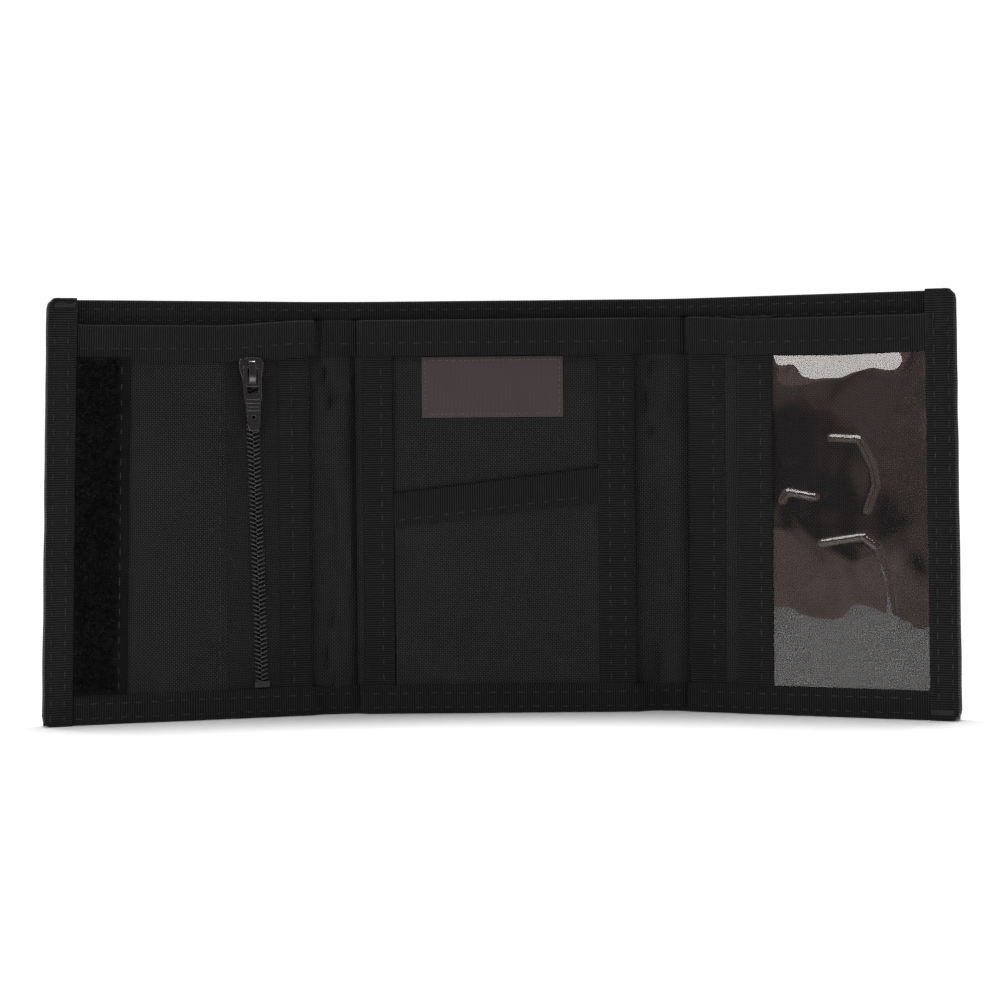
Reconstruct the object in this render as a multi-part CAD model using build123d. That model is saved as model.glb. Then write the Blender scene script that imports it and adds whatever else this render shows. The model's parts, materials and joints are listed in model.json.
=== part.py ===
from build123d import *
import os
from dataclasses import dataclass
from math import radians, sin

# A trifold wallet of black nylon, seen from its inside: a centre panel, a left wing with a
# zipped coin pocket and a right wing with a clear window. Each wing is joined to the centre
# by a narrow spine with a fold on either side of it. X runs along the wallet to the right,
# Y points from the inside out through the shell, and Z is up. The origin is the middle of
# the centre panel's bottom edge, in the plane that the folds turn in.
# Lengths are in millimetres and angles in degrees.

# Overall sizes
height = 125.0
centre_width = 90.3
left_wing_width = 80.6
right_wing_width = 83.2
left_rest_fold = 8.5  # each of the left spine's two folds, in the standing pose
right_rest_fold = 11.0  # and each of the right spine's
closed_lean = 2.0  # the closed left wing stops this far short of parallel

# Cloth, tape and film
shell_thickness = 0.8
cloth_thickness = 0.4
tape_thickness = 0.35
film_thickness = 0.3
pile_thickness = 1.5
hook_thickness = 1.3

# Gaps between the layers
layer_gap = 0.1
closed_gap = 0.35
shell_end_gap = 0.15
outer_binding_relief = 0.55
spine_relief = 0.6
fold_clearance = 0.35
run_clearance = 0.25

# Bindings, as the width that shows
outer_binding_height = 8.5
inner_top_drop = 5.7
inner_binding_height = 11.0
bottom_binding_height = 8.7
side_binding_width = 8.5
side_binding_rise = 0.4

# Centre panel
card_binding_width = 8.0
seam_tape_start = 26.9
seam_tape_width = 10.7
seam_allowance = 0.4
slant_left_height = 66.5
slant_slope = 0.125
slant_binding_height = 10.9
label_start = -26.3
label_width = 42.7
label_height = 18.4
label_gap = 0.3

# Right wing
slot_binding_start = 2.3
slot_binding_width = 11.0
window_start = 17.6
window_binding_width = 10.8
hook_start = 18.0
hook_width = 16.0

# Left wing
loop_start = 56.0
loop_inset = 0.2
zip_edge_width = 9.5
pocket_front_start = 27.4

# Zip: across is measured from the middle of the chain and along from the slider's top end
zip_lean = 1.4
zip_top_u = 19.8
zip_top_gap = 0.3
zip_tape_width = 13.0
zip_tape_top = 8.0
zip_tape_foot = 5.0
chain_gap = 1.0
coil_width = 1.8
coil_thickness = 0.9
chain_foot = 2.3
stop_height = 1.8
stop_gap = 0.5

# Slider
plate_thickness = 0.4
top_plate_thickness = 0.45
slider_length = 9.0
shoulder_width = 7.7
shoulder_top_width = 5.2
shoulder_start = -1.5
shoulder_end = -4.2
flange_width = 0.55
post_width = 0.6
post_top = -0.6
post_length = 2.0
crown_width = 2.0
crown_top = -0.9
crown_leg = 0.75
crown_window = 2.0
crown_thickness = 0.5

# Puller
puller_length = 19.5
puller_top_width = 5.5
puller_tip_width = 3.6
puller_thickness = 0.7
puller_straight = 6.0
puller_tip_radius = 1.5
slot_width = 3.4
slot_length = 7.6
slot_radius = 1.2
eye_radius = 0.6
eye_from_tip = 4.0

# Depths towards the inside, measured from the plane of the folds
inner_back = 2 * tape_thickness + layer_gap
inner_front = inner_back + cloth_thickness
pocket_back = inner_front + tape_thickness + layer_gap
pocket_front = pocket_back + cloth_thickness
slant_back = pocket_front + tape_thickness + layer_gap
slant_front = slant_back + cloth_thickness
film_back = pocket_front + tape_thickness + 2 * layer_gap
film_front = film_back + film_thickness
zip_tape_back = inner_front + plate_thickness + 2 * run_clearance
zip_tape_front = zip_tape_back + tape_thickness
coil_front = zip_tape_front + coil_thickness
zip_cloth_front = zip_tape_front + cloth_thickness
top_plate_back = coil_front + run_clearance
top_plate_front = top_plate_back + top_plate_thickness
pivot_depth = top_plate_front + run_clearance + puller_thickness / 2
crown_back = pivot_depth + puller_thickness / 2 + run_clearance
crown_front = crown_back + crown_thickness

# A panel's inner layers stop this far from a fold, so that the closed spine clears them.
panel_relief = inner_front + tape_thickness + fold_clearance
inner_top = height - inner_top_drop
zip_top_z = inner_top - inner_binding_height - zip_top_gap
zip_tape_bottom = zip_tape_foot - zip_top_z
coil_bottom = bottom_binding_height + chain_foot - zip_top_z

# Each spine is as wide as the stack that it closes round: the right wing lies on the centre
# panel, and the left wing, slider first, on the back of the right wing.
centre_stack = slant_front + 2 * tape_thickness
right_wing_stack = film_front + 3 * tape_thickness
right_spine_width = centre_stack + right_wing_stack + closed_gap
slider_lift = zip_top_u * sin(radians(closed_lean))
left_spine_width = right_spine_width + shell_thickness + crown_front + closed_gap - slider_lift


@dataclass
class Segment:
    """One flat stretch of the wallet; u runs along it from its fold, away from the centre."""

    name: str
    place: Location
    side: int
    near: float
    far: float
    relief: float
    front: float
    far_folds: bool = True


def turned(x, angle):
    """The place of what hangs on a fold at x, turned about the upright."""
    return Location((x, 0, 0), (0, 0, angle))


half = centre_width / 2
left_spine_place = turned(-half, left_rest_fold)
left_wing_place = left_spine_place * turned(-left_spine_width, left_rest_fold)
right_spine_place = turned(half, -right_rest_fold)
right_wing_place = right_spine_place * turned(right_spine_width, -right_rest_fold)

centre = Segment(
    "centre", Location((0, 0, 0)), 1, -half, half, panel_relief, slant_front + tape_thickness
)
left_spine = Segment(
    "left_spine", left_spine_place, -1, 0, left_spine_width, spine_relief, inner_front
)
right_spine = Segment(
    "right_spine", right_spine_place, 1, 0, right_spine_width, spine_relief, inner_front
)
left_wing = Segment(
    "left_wing", left_wing_place, -1, 0, left_wing_width, panel_relief, coil_front, False
)
right_wing = Segment(
    "right_wing",
    right_wing_place,
    1,
    0,
    right_wing_width,
    panel_relief,
    film_front + tape_thickness,
    False,
)
segments = [left_wing, left_spine, centre, right_spine, right_wing]

# The zip leans a little towards the fold, and its own place carries the lean.
zip_place = left_wing_place * Location((-zip_top_u, 0, zip_top_z), (0, -zip_lean, 0))


def plate(points, back, front):
    """A flat plate with an outline of (x, z) points, between two depths."""
    outline = Plane.XZ.offset(back) * Polygon(*points, align=None)
    return extrude(outline, amount=front - back, dir=(0, -1, 0))


def slab(x_from, x_to, back, front, z_from, z_to):
    """An upright rectangular plate."""
    corners = [(x_from, z_from), (x_to, z_from), (x_to, z_to), (x_from, z_to)]
    return plate(corners, back, front)


def on(segment, u_from, u_to, back, front, z_from, z_to):
    """A slab on a segment, given by its u range, depths and heights."""
    low, high = sorted((segment.side * u_from, segment.side * u_to))
    return segment.place * slab(low, high, back, front, z_from, z_to)


def folded(segment, u_from, u_to, back, front, z_from, z_to, edge):
    """A tape folded round one edge of a stack that lies between two depths."""
    t = tape_thickness
    outer = on(segment, u_from, u_to, back - t, front + t, z_from, z_to)
    reach = {"near": [u_from + t, u_to + t], "far": [u_from - t, u_to - t]}
    rise = {"bottom": [z_from + t, z_to + t], "top": [z_from - t, z_to - t]}
    u_cut = reach.get(edge, [u_from - t, u_to + t])
    z_cut = rise.get(edge, [z_from - t, z_to + t])
    return outer - on(segment, *u_cut, back, front, *z_cut)


def reach_of(segment, relief):
    """The u range of a layer that stops short of each fold by its relief."""
    far_stop = relief if segment.far_folds else tape_thickness
    return segment.near + relief, segment.far - far_stop


def segment_layers(segment):
    """The shell, the inner panel and the bindings that run right along the wallet."""
    name = segment.name
    shell_reach = reach_of(segment, shell_end_gap)
    outer_reach = reach_of(segment, outer_binding_relief)
    inner_reach = reach_of(segment, segment.relief)
    t = tape_thickness
    return {
        f"{name}_outer_shell": on(segment, *shell_reach, -shell_thickness, 0, t, height - t),
        f"{name}_inner_panel": on(
            segment, *inner_reach, inner_back, inner_front, t, inner_top - t
        ),
        f"{name}_outer_top_binding": folded(
            segment,
            *outer_reach,
            -shell_thickness,
            0,
            height - outer_binding_height,
            height,
            "top",
        ),
        f"{name}_inner_top_binding": folded(
            segment,
            *inner_reach,
            inner_back,
            segment.front,
            inner_top - inner_binding_height,
            inner_top,
            "top",
        ),
        f"{name}_bottom_binding": folded(
            segment,
            *inner_reach,
            -shell_thickness,
            segment.front,
            0,
            bottom_binding_height,
            "bottom",
        ),
    }


def side_binding(segment):
    """The tape that closes a wing's free end, over the ends of the other bindings."""
    return folded(
        segment,
        segment.far - side_binding_width,
        segment.far,
        -shell_thickness - tape_thickness,
        segment.front + tape_thickness,
        0,
        height + side_binding_rise,
        "far",
    )


def pocket_panel(segment, u_from, u_to, back, front):
    """A pocket's front, held by the bottom binding and the inner top binding."""
    return on(segment, u_from, u_to, back, front, tape_thickness, inner_top - tape_thickness)


def slant_height(x):
    """The height of the slanted pocket's mouth at x."""
    return slant_left_height + slant_slope * (x + half - panel_relief - card_binding_width)


def slant_strip(x_from, x_to, drop, depth, back, front):
    """A plate under the slanted mouth, from drop below it down by depth."""
    upper = [(x, slant_height(x) - drop) for x in (x_to, x_from)]
    lower = [(x, z - depth) for x, z in reversed(upper)]
    return plate(lower + upper, back, front)


def centre_pockets():
    """The centre panel's side-opening card pocket, with a slanted pocket in front of it."""
    t = tape_thickness
    edge = -half + panel_relief
    binding_end = edge + card_binding_width
    panel_end = seam_tape_start + seam_tape_width - seam_allowance
    floor_left, floor_right = (edge + t, t), (panel_end, t)
    mouth = [(x, slant_height(x) - t) for x in (panel_end, edge + t)]
    label_top = inner_top - inner_binding_height - label_gap
    binding = slant_strip(
        binding_end,
        seam_tape_start,
        0,
        slant_binding_height,
        slant_back - t,
        slant_front + t,
    )
    binding -= slant_strip(
        binding_end - t,
        seam_tape_start + t,
        t,
        slant_binding_height,
        slant_back,
        slant_front,
    )
    return {
        "card_pocket_panel": pocket_panel(
            centre, edge + t, panel_end, pocket_back, pocket_front
        ),
        "card_pocket_binding": folded(
            centre, edge, binding_end, pocket_back, slant_front, t, inner_top - t, "near"
        ),
        "slant_pocket_panel": plate([floor_left, floor_right, *mouth], slant_back, slant_front),
        "slant_pocket_binding": binding,
        "seam_tape": pocket_panel(
            centre,
            seam_tape_start,
            seam_tape_start + seam_tape_width,
            slant_front,
            slant_front + t,
        ),
        "blank_label": slab(
            label_start,
            label_start + label_width,
            pocket_front,
            pocket_front + t,
            label_top - label_height,
            label_top,
        ),
    }


def right_wing_pockets():
    """The right wing's card slot, its clear window and the hook strip on its back."""
    t = tape_thickness
    stack_end = right_wing_width - t
    slot_end = slot_binding_start + slot_binding_width
    window_end = window_start + window_binding_width
    foot, head = t, inner_top - t
    return {
        "card_slot_panel": pocket_panel(
            right_wing, slot_binding_start + t, stack_end, pocket_back, pocket_front
        ),
        "card_slot_binding": folded(
            right_wing, slot_binding_start, slot_end, pocket_back, pocket_front, foot, head, "near"
        ),
        "window_pane": pocket_panel(
            right_wing, window_start + t, stack_end, film_back, film_front
        ),
        "window_binding": folded(
            right_wing, window_start, window_end, film_back, film_front, foot, head, "near"
        ),
        "hook_strip": on(
            right_wing,
            hook_start,
            hook_start + hook_width,
            -shell_thickness - hook_thickness,
            -shell_thickness,
            bottom_binding_height + loop_inset,
            inner_top - inner_binding_height - loop_inset,
        ),
    }


def left_wing_pocket():
    """The coin pocket's front, the tape along the zip and the loop strip."""
    loop_end = left_wing_width - side_binding_width - loop_inset
    return {
        "zip_pocket_front": pocket_panel(
            left_wing,
            pocket_front_start,
            left_wing_width - tape_thickness,
            zip_tape_front,
            zip_cloth_front,
        ),
        "zip_edge_binding": folded(
            left_wing,
            panel_relief,
            panel_relief + zip_edge_width,
            zip_tape_back,
            zip_tape_front,
            tape_thickness,
            inner_top - tape_thickness,
            "near",
        ),
        "loop_strip": on(
            left_wing,
            loop_start,
            loop_end,
            zip_cloth_front,
            zip_cloth_front + pile_thickness,
            bottom_binding_height + loop_inset,
            inner_top - inner_binding_height - loop_inset,
        ),
    }


def on_zip(side, near, far, back, front, low, high):
    """A slab on one side of the chain, between two distances from its middle."""
    x_from, x_to = sorted((side * near, side * far))
    return zip_place * slab(x_from, x_to, back, front, low, high)


def zip_half(side):
    """One tape of the zip with its coil; side is +1 next to the fold."""
    inner = chain_gap / 2
    tape = on_zip(
        side,
        inner,
        zip_tape_width,
        zip_tape_back,
        zip_tape_front,
        zip_tape_bottom,
        zip_tape_top,
    )
    coil = on_zip(
        side,
        inner,
        inner + coil_width,
        zip_tape_front,
        coil_front,
        coil_bottom,
        stop_gap,
    )
    stop = on_zip(
        side,
        inner,
        inner + coil_width,
        zip_tape_front,
        coil_front,
        stop_gap,
        stop_gap + stop_height,
    )
    return tape, coil, stop


def zip_track():
    """Both tapes, both coils, the pair of top stops and the bottom stop."""
    fold_tape, fold_coil, fold_stop = zip_half(1)
    end_tape, end_coil, end_stop = zip_half(-1)
    reach = chain_gap / 2 + coil_width
    bottom_stop = zip_place * slab(
        -reach,
        reach,
        zip_tape_front,
        coil_front,
        coil_bottom - stop_height,
        coil_bottom,
    )
    return {
        "zip_tape_fold_side": fold_tape,
        "zip_tape_end_side": end_tape,
        "zip_coil_fold_side": fold_coil,
        "zip_coil_end_side": end_coil,
        "zip_top_stops": Compound([fold_stop, end_stop]),
        "zip_bottom_stop": bottom_stop,
    }


chain_reach = chain_gap / 2 + coil_width
tail_width = 2 * (chain_reach + run_clearance + flange_width)
pivot_along = crown_top - crown_leg - crown_window / 2


def slider_outline():
    """The outline of both slider plates: wide shoulders that narrow to the tail."""
    right = [
        (shoulder_top_width / 2, 0),
        (shoulder_width / 2, shoulder_start),
        (shoulder_width / 2, shoulder_end),
        (tail_width / 2, -slider_length),
    ]
    return right + [(-x, z) for x, z in reversed(right)]


def zip_slider():
    """Two plates joined by a post, with flanges beside the chain and a crown in front."""
    outline = slider_outline()
    bottom_back = inner_front + run_clearance
    body = plate(outline, bottom_back, bottom_back + plate_thickness)
    body += plate(outline, top_plate_back, top_plate_front)
    body += slab(
        -post_width / 2,
        post_width / 2,
        bottom_back,
        top_plate_front,
        post_top - post_length,
        post_top,
    )
    for side in (-1, 1):
        near = side * (chain_reach + run_clearance)
        far = side * tail_width / 2
        body += slab(
            min(near, far),
            max(near, far),
            zip_tape_front + run_clearance,
            top_plate_front,
            -slider_length,
            shoulder_end,
        )
    crown_foot = crown_top - 2 * crown_leg - crown_window
    crown = slab(
        -crown_width / 2,
        crown_width / 2,
        top_plate_back,
        crown_front,
        crown_foot,
        crown_top,
    )
    crown -= slab(
        -crown_width,
        crown_width,
        top_plate_front,
        crown_back,
        crown_foot + crown_leg,
        crown_top - crown_leg,
    )
    return zip_place * (body + crown)


def zip_puller():
    """The tapered pull tab, which hangs from the crown by the round bar above its slot."""
    tip = pivot_along - puller_length
    bend = pivot_along - puller_straight
    right = [
        (puller_top_width / 2, pivot_along),
        (puller_top_width / 2, bend),
        (puller_tip_width / 2, tip),
    ]
    outline = right + [(-x, z) for x, z in reversed(right)]
    back = pivot_depth - puller_thickness / 2
    front = pivot_depth + puller_thickness / 2
    tab = plate(outline, back, front)
    tip_edges = tab.edges().filter_by(Axis.Y).group_by(Axis.Z)[0]
    tab = fillet(tip_edges, puller_tip_radius)
    slot = slab(
        -slot_width / 2,
        slot_width / 2,
        back,
        front,
        pivot_along - slot_length,
        pivot_along,
    )
    slot = fillet(slot.edges().filter_by(Axis.Y).group_by(Axis.Z)[0], slot_radius)
    eye_place = Location((0, -pivot_depth, tip + eye_from_tip), (90, 0, 0))
    eye = eye_place * Cylinder(eye_radius, 2 * puller_thickness)
    bar_place = Location((0, -pivot_depth, pivot_along), (0, 90, 0))
    bar = bar_place * Cylinder(puller_thickness / 2, puller_top_width)
    return zip_place * (tab - slot - eye + bar)


def build_nodes():
    """Every sub-part of the wallet, by its node's name."""
    nodes = {}
    for segment in segments:
        nodes |= segment_layers(segment)
    nodes["left_side_binding"] = side_binding(left_wing)
    nodes["right_side_binding"] = side_binding(right_wing)
    nodes |= centre_pockets()
    nodes |= right_wing_pockets()
    nodes |= left_wing_pocket()
    nodes |= zip_track()
    nodes["zip_slider"] = zip_slider()
    nodes["zip_puller"] = zip_puller()
    return nodes


os.makedirs("parts", exist_ok=True)
for node, shape in build_nodes().items():
    export_step(shape, f"parts/{node}.step")
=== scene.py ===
# %% [markdown]
# # A trifold wallet of black nylon
#
# The wallet stands open on its bottom edge: a centre panel with two bound pockets, a left wing
# with a zipped coin pocket, and a right wing with a clear window. The CAD model holds the sizes
# and the folds. This lesson dresses it: cloth, tape, thread, zip, film and light.

# %% Load the frame
import json
import math
import bpy
import numpy as np
from mathutils import Matrix, Vector, noise
from mathutils.bvhtree import BVHTree

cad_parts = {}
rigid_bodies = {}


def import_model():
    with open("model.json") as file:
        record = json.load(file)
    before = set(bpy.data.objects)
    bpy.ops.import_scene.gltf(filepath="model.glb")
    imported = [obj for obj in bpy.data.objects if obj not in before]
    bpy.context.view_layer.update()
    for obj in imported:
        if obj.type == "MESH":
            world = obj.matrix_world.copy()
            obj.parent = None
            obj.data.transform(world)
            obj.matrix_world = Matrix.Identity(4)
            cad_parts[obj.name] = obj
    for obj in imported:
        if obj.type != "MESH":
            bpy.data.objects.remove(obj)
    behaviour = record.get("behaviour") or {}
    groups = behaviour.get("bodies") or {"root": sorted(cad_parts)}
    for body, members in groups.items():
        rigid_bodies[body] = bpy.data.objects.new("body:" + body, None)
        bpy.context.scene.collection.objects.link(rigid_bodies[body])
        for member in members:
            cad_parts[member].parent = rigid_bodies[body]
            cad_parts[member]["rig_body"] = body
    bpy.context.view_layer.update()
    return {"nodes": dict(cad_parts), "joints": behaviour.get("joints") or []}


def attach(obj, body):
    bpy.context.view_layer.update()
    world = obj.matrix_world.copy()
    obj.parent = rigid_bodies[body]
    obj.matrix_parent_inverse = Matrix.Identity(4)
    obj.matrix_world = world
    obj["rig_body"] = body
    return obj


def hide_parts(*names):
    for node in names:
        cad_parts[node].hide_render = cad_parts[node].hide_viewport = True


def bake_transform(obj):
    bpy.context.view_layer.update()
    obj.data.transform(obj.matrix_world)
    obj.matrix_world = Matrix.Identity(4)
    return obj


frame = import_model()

MM = 0.001

# %% [markdown]
# ## Work flat, then fold
#
# A sewn wallet is cut and stitched while it lies flat, and only then folded. The same order is
# easiest here. Every piece is modelled in a flat layout, where x runs along the wallet, y is
# minus the height above the cloth, and z is up. One function folds finished meshes into the
# standing pose. Each fold joint reaches its lower limit when the wallet lies flat, so the frame
# itself says how far every fold is turned at rest.

# %% The flat layout
JOINT_OF = {joint["child"]: joint for joint in frame["joints"]}
FOLD_NAMES = ["left_wing_fold", "left_spine_fold", "right_wing_fold", "right_spine_fold"]


def unfolding(body):
    """The matrix that lays a body flat."""
    joint = JOINT_OF.get(body)
    if joint is None:
        return Matrix.Identity(4)
    if joint["type"] == "slide":
        return unfolding(joint["parent"])
    place = Matrix.Translation(joint["pos_m"])
    turn = Matrix.Rotation(math.radians(joint["range_deg"][0]), 4, Vector(joint["axis"]))
    return unfolding(joint["parent"]) @ place @ turn @ place.inverted()


def flat_box(node):
    """Lowest and highest corner of a CAD node in the flat layout, in millimetres."""
    piece = frame["nodes"][node]
    lay = unfolding(piece["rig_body"])
    spots = np.array([lay @ v.co for v in piece.data.vertices]) / MM
    return spots.min(0), spots.max(0)


def fold_line(joint):
    """x of a fold in the flat layout, the side it lies on and its angle at rest."""
    x = (unfolding(joint["parent"]) @ Vector(joint["pos_m"])).x / MM
    return x, math.copysign(1, x), math.radians(-joint["range_deg"][0])


BY_NAME = {joint["name"]: joint for joint in frame["joints"]}
FOLDS = {name: fold_line(BY_NAME[name]) for name in FOLD_NAMES}
SOFT_BEND = 2.2  # the cloth turns over this much to either side of a fold
print("folds:", {name: round(fold[0], 2) for name, fold in FOLDS.items()})

# %% Fold finished points into the standing pose
def smooth(t):
    t = np.clip(t, 0, 1)
    return t * t * (3 - 2 * t)


def fold_up(flat):
    """Flat points in millimetres, folded into the pose that the wallet stands in."""
    x, y, z = flat[:, 0].copy(), flat[:, 1].copy(), flat[:, 2]
    for name in FOLD_NAMES:
        line, side, angle = FOLDS[name]
        share = smooth((side * (flat[:, 0] - line) + SOFT_BEND) / (2 * SOFT_BEND))
        turn = -side * share * angle
        dx = x - line
        x, y = line + dx * np.cos(turn) - y * np.sin(turn), dx * np.sin(turn) + y * np.cos(turn)
    return np.stack([x, y, z], axis=1)


print("left end folds to", fold_up(np.array([[-140.0, 0, 0]])).round(2))

# %% [markdown]
# ## Reading and moving points
#
# Mesh points come out as one array, are changed all at once, and go back. The UV map of every
# sewn piece is in millimetres, along the piece and across it, so a weave or a rib keeps its real
# pitch however the cloth is folded.

# %% Points and maps
def points_of(piece):
    spots = np.empty(len(piece.data.vertices) * 3)
    piece.data.vertices.foreach_get("co", spots)
    return spots.reshape(-1, 3)


def put_points(piece, spots):
    piece.data.vertices.foreach_set("co", spots.ravel())
    piece.data.update()


def put_map(piece, pairs):
    """Writes a UV map from one (u, v) pair for each point of the mesh."""
    corners = np.empty(len(piece.data.loops), dtype=np.int64)
    piece.data.loops.foreach_get("vertex_index", corners)
    layer = piece.data.uv_layers.active or piece.data.uv_layers.new(name="UVMap")
    layer.data.foreach_set("uv", pairs[corners].ravel())


def only(piece):
    """Makes a piece the only one selected, and the active one."""
    bpy.ops.object.select_all(action="DESELECT")
    piece.select_set(True)
    bpy.context.view_layer.objects.active = piece


def grid_piece(name, columns, rows):
    """A grid primitive; its points come back as shares of its width and height."""
    bpy.ops.object.select_all(action="DESELECT")
    bpy.ops.mesh.primitive_grid_add(x_subdivisions=columns, y_subdivisions=rows, size=1)
    piece = bpy.context.object
    piece.name = name
    piece.data.name = name
    shares = points_of(piece)[:, :2] + 0.5
    return piece, shares[:, 0], shares[:, 1]


def apply_modifier(piece, kind, **settings):
    only(piece)
    made = piece.modifiers.new(kind.title(), kind)
    for key, value in settings.items():
        setattr(made, key, value)
    bpy.ops.object.modifier_apply(modifier=made.name)


def ripple(x, z, size, seed):
    """Smooth noise from -1 to 1 over the flat layout, one wave about size long."""
    return np.array([noise.noise(Vector((a / size, b / size, seed))) for a, b in zip(x, z)])


# %% [markdown]
# ## How the cloth lies
#
# Layers that are sewn together move together, so one field of gentle waves is added to all of
# them and no layer can pass through its neighbour. The waves die out along the zip, where the
# stiff chain holds the cloth flat, and towards the folds.

# %% The common waves
LEFT_END = flat_box("left_side_binding")[0][0]
RIGHT_END = flat_box("right_side_binding")[1][0]
HEIGHT = flat_box("centre_outer_top_binding")[1][2]
CHAIN = (flat_box("zip_coil_end_side")[0] + flat_box("zip_coil_fold_side")[1]) / 2
WAVE_DEPTH = 0.75
CREASES = [  # (x, z) along a crease, then how deep and how wide it is
    ([(-57.6, 120), (-56.6, 107), (-53.7, 93)], 1.8, 1.0),
    ([(-53.6, 31), (-56.2, 17), (-53.8, 9)], 1.5, 1.0),
    ([(-46.6, 119), (-46.9, 60), (-46.6, 2)], 1.6, 0.8),
    ([(43.4, 106), (41.6, 95), (43.3, 84)], 1.6, 0.9),
    ([(44.8, 20), (44.9, 9)], 1.5, 0.9),
    ([(53.9, 119), (54.0, 60), (53.9, 2)], 2.2, 0.9),
    ([(-49.6, 100), (-52.0, 78)], -1.0, 2.0),
    ([(47.8, 104), (47.0, 88)], -1.0, 2.0),
    ([(-53.5, 70), (-50.5, 45)], 1.1, 1.5),
    ([(46.0, 66), (49.0, 40)], 1.1, 1.5),
    ([(-57.6, 119), (-57.4, 108)], 0.9, 0.7),
    ([(53.0, 119), (53.0, 108)], 0.9, 0.7),
    ([(-50.5, 84), (-51.5, 60), (-50.0, 38)], -0.5, 2.2),
    ([(47.5, 78), (48.5, 55), (47.0, 35)], -0.45, 2.2),
    ([(-33.1, 55), (-33.0, 30), (-29.5, 23)], 0.7, 1.1),
    ([(-27.0, 13), (-22.0, 8)], 0.9, 0.9),
    ([(-112.0, 100), (-98.0, 88)], -0.35, 5.0),
    ([(-104.0, 52), (-92.0, 44)], 0.35, 6.0),
]


def near_line(x, z, places):
    """Distance to a bent line, given as a list of (x, z)."""
    best = np.full(len(x), 1e9)
    for (x0, z0), (x1, z1) in zip(places[:-1], places[1:]):
        dx, dz = x1 - x0, z1 - z0
        t = np.clip(((x - x0) * dx + (z - z0) * dz) / (dx * dx + dz * dz), 0, 1)
        best = np.minimum(best, np.hypot(x - x0 - t * dx, z - z0 - t * dz))
    return best


def waves(x, z):
    """How far the whole stack stands forward of its flat place."""
    still = 1 - 0.85 * np.exp(-(((x - CHAIN[0]) / 14) ** 2))
    for line, _, _ in FOLDS.values():
        still = still * (1 - 0.9 * np.exp(-(((x - line) / 5) ** 2)))
    still = still * (1 - 0.8 * smooth((x - 68) / 10))
    d = WAVE_DEPTH * still * (ripple(x, z * 0.8, 34, 1.7) + 0.5 * ripple(x, z, 14, 5.3))
    for places, deep, wide in CREASES:
        d = d - deep * np.exp(-((near_line(x, z, places) / wide) ** 2))
    return d


def skew(x, z):
    """A used wallet hangs a little out of square; this moves its ends sideways."""
    left = smooth((-80 - x) / 35) * (-2.2 + 3.1 * z / HEIGHT)
    right = smooth((x - 90) / 40) * (0.9 - 1.2 * z / HEIGHT)
    return left + right


def add_waves(piece):
    spots = points_of(piece)
    spots[:, 1] -= waves(spots[:, 0], spots[:, 2])
    put_points(piece, spots)


print("wallet in the flat layout: x from", round(LEFT_END, 1), "to", round(RIGHT_END, 1))

# %% [markdown]
# ## Finishes
# The same height also paints shade into the colour: darker in the hollows between threads, lighter on
# their crests.
#
# The whole wallet is black, so its materials are told apart by structure: a fine plain weave,
# ribbed tape, fuzzy pile, satin coil, glossy enamel and clear film. Weave and ribs are height
# on a shader, which is cheaper than threads of mesh and still catches light.
# Each pattern is a node group that is built once. It reads the piece's UV map in millimetres.

# %% Small helpers for node trees
def math_node(tree, operation, first, second=None):
    node = tree.nodes.new("ShaderNodeMath")
    node.operation = operation
    for socket, value in zip(node.inputs, (first, second)):
        if isinstance(value, bpy.types.NodeSocket):
            tree.links.new(value, socket)
        elif value is not None:
            socket.default_value = value
    return node.outputs[0]


def new_group(name, inputs, outputs):
    """A node group; inputs are (name, kind, value) and outputs are names of values."""
    group = bpy.data.node_groups.new(name, "ShaderNodeTree")
    for label, kind, value in inputs:
        socket = group.interface.new_socket(label, in_out="INPUT", socket_type=kind)
        if value is not None:
            socket.default_value = value
    for label in outputs:
        group.interface.new_socket(label, in_out="OUTPUT", socket_type="NodeSocketFloat")
    return group, group.nodes.new("NodeGroupInput"), group.nodes.new("NodeGroupOutput")


def split_xy(tree, vector):
    node = tree.nodes.new("ShaderNodeSeparateXYZ")
    tree.links.new(vector, node.inputs[0])
    return node.outputs[0], node.outputs[1]


def noise_node(tree, vector, scale, detail=3.0, rough=0.6):
    node = tree.nodes.new("ShaderNodeTexNoise")
    tree.links.new(vector, node.inputs["Vector"])
    node.inputs["Scale"].default_value = scale
    node.inputs["Detail"].default_value = detail
    node.inputs["Roughness"].default_value = rough
    return node.outputs["Fac"]


# %% The weave, the ribs and the wear
def build_weave():
    """Plain weave: warp over weft, then weft over warp, like a chessboard of little arches."""
    group, given, out = new_group(
        "plain_weave",
        [("Vector", "NodeSocketVector", None), ("Pitch", "NodeSocketFloat", 0.6)],
        ["Height"],
    )
    across, along = split_xy(group, given.outputs["Vector"])
    half_turn = math_node(group, "DIVIDE", math.pi, given.outputs["Pitch"])
    warp = math_node(group, "SINE", math_node(group, "MULTIPLY", across, half_turn))
    weft = math_node(group, "SINE", math_node(group, "MULTIPLY", along, half_turn))
    over = math_node(group, "MULTIPLY", warp, weft)
    pick = math_node(group, "MULTIPLY", over, 2.5)
    pick = math_node(group, "ADD", pick, 0.5)
    pick.node.use_clamp = True
    warp_high = math_node(group, "MULTIPLY", math_node(group, "ABSOLUTE", warp), pick)
    rest = math_node(group, "SUBTRACT", 1.0, pick)
    weft_high = math_node(group, "MULTIPLY", math_node(group, "ABSOLUTE", weft), rest)
    weft_high = math_node(group, "MULTIPLY", weft_high, 0.55)
    height = math_node(group, "ADD", warp_high, weft_high)
    crossing = math_node(group, "ABSOLUTE", over)
    height = math_node(group, "MULTIPLY", height, math_node(group, "ADD", crossing, 0.25))
    group.links.new(height, out.inputs["Height"])
    return group


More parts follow.
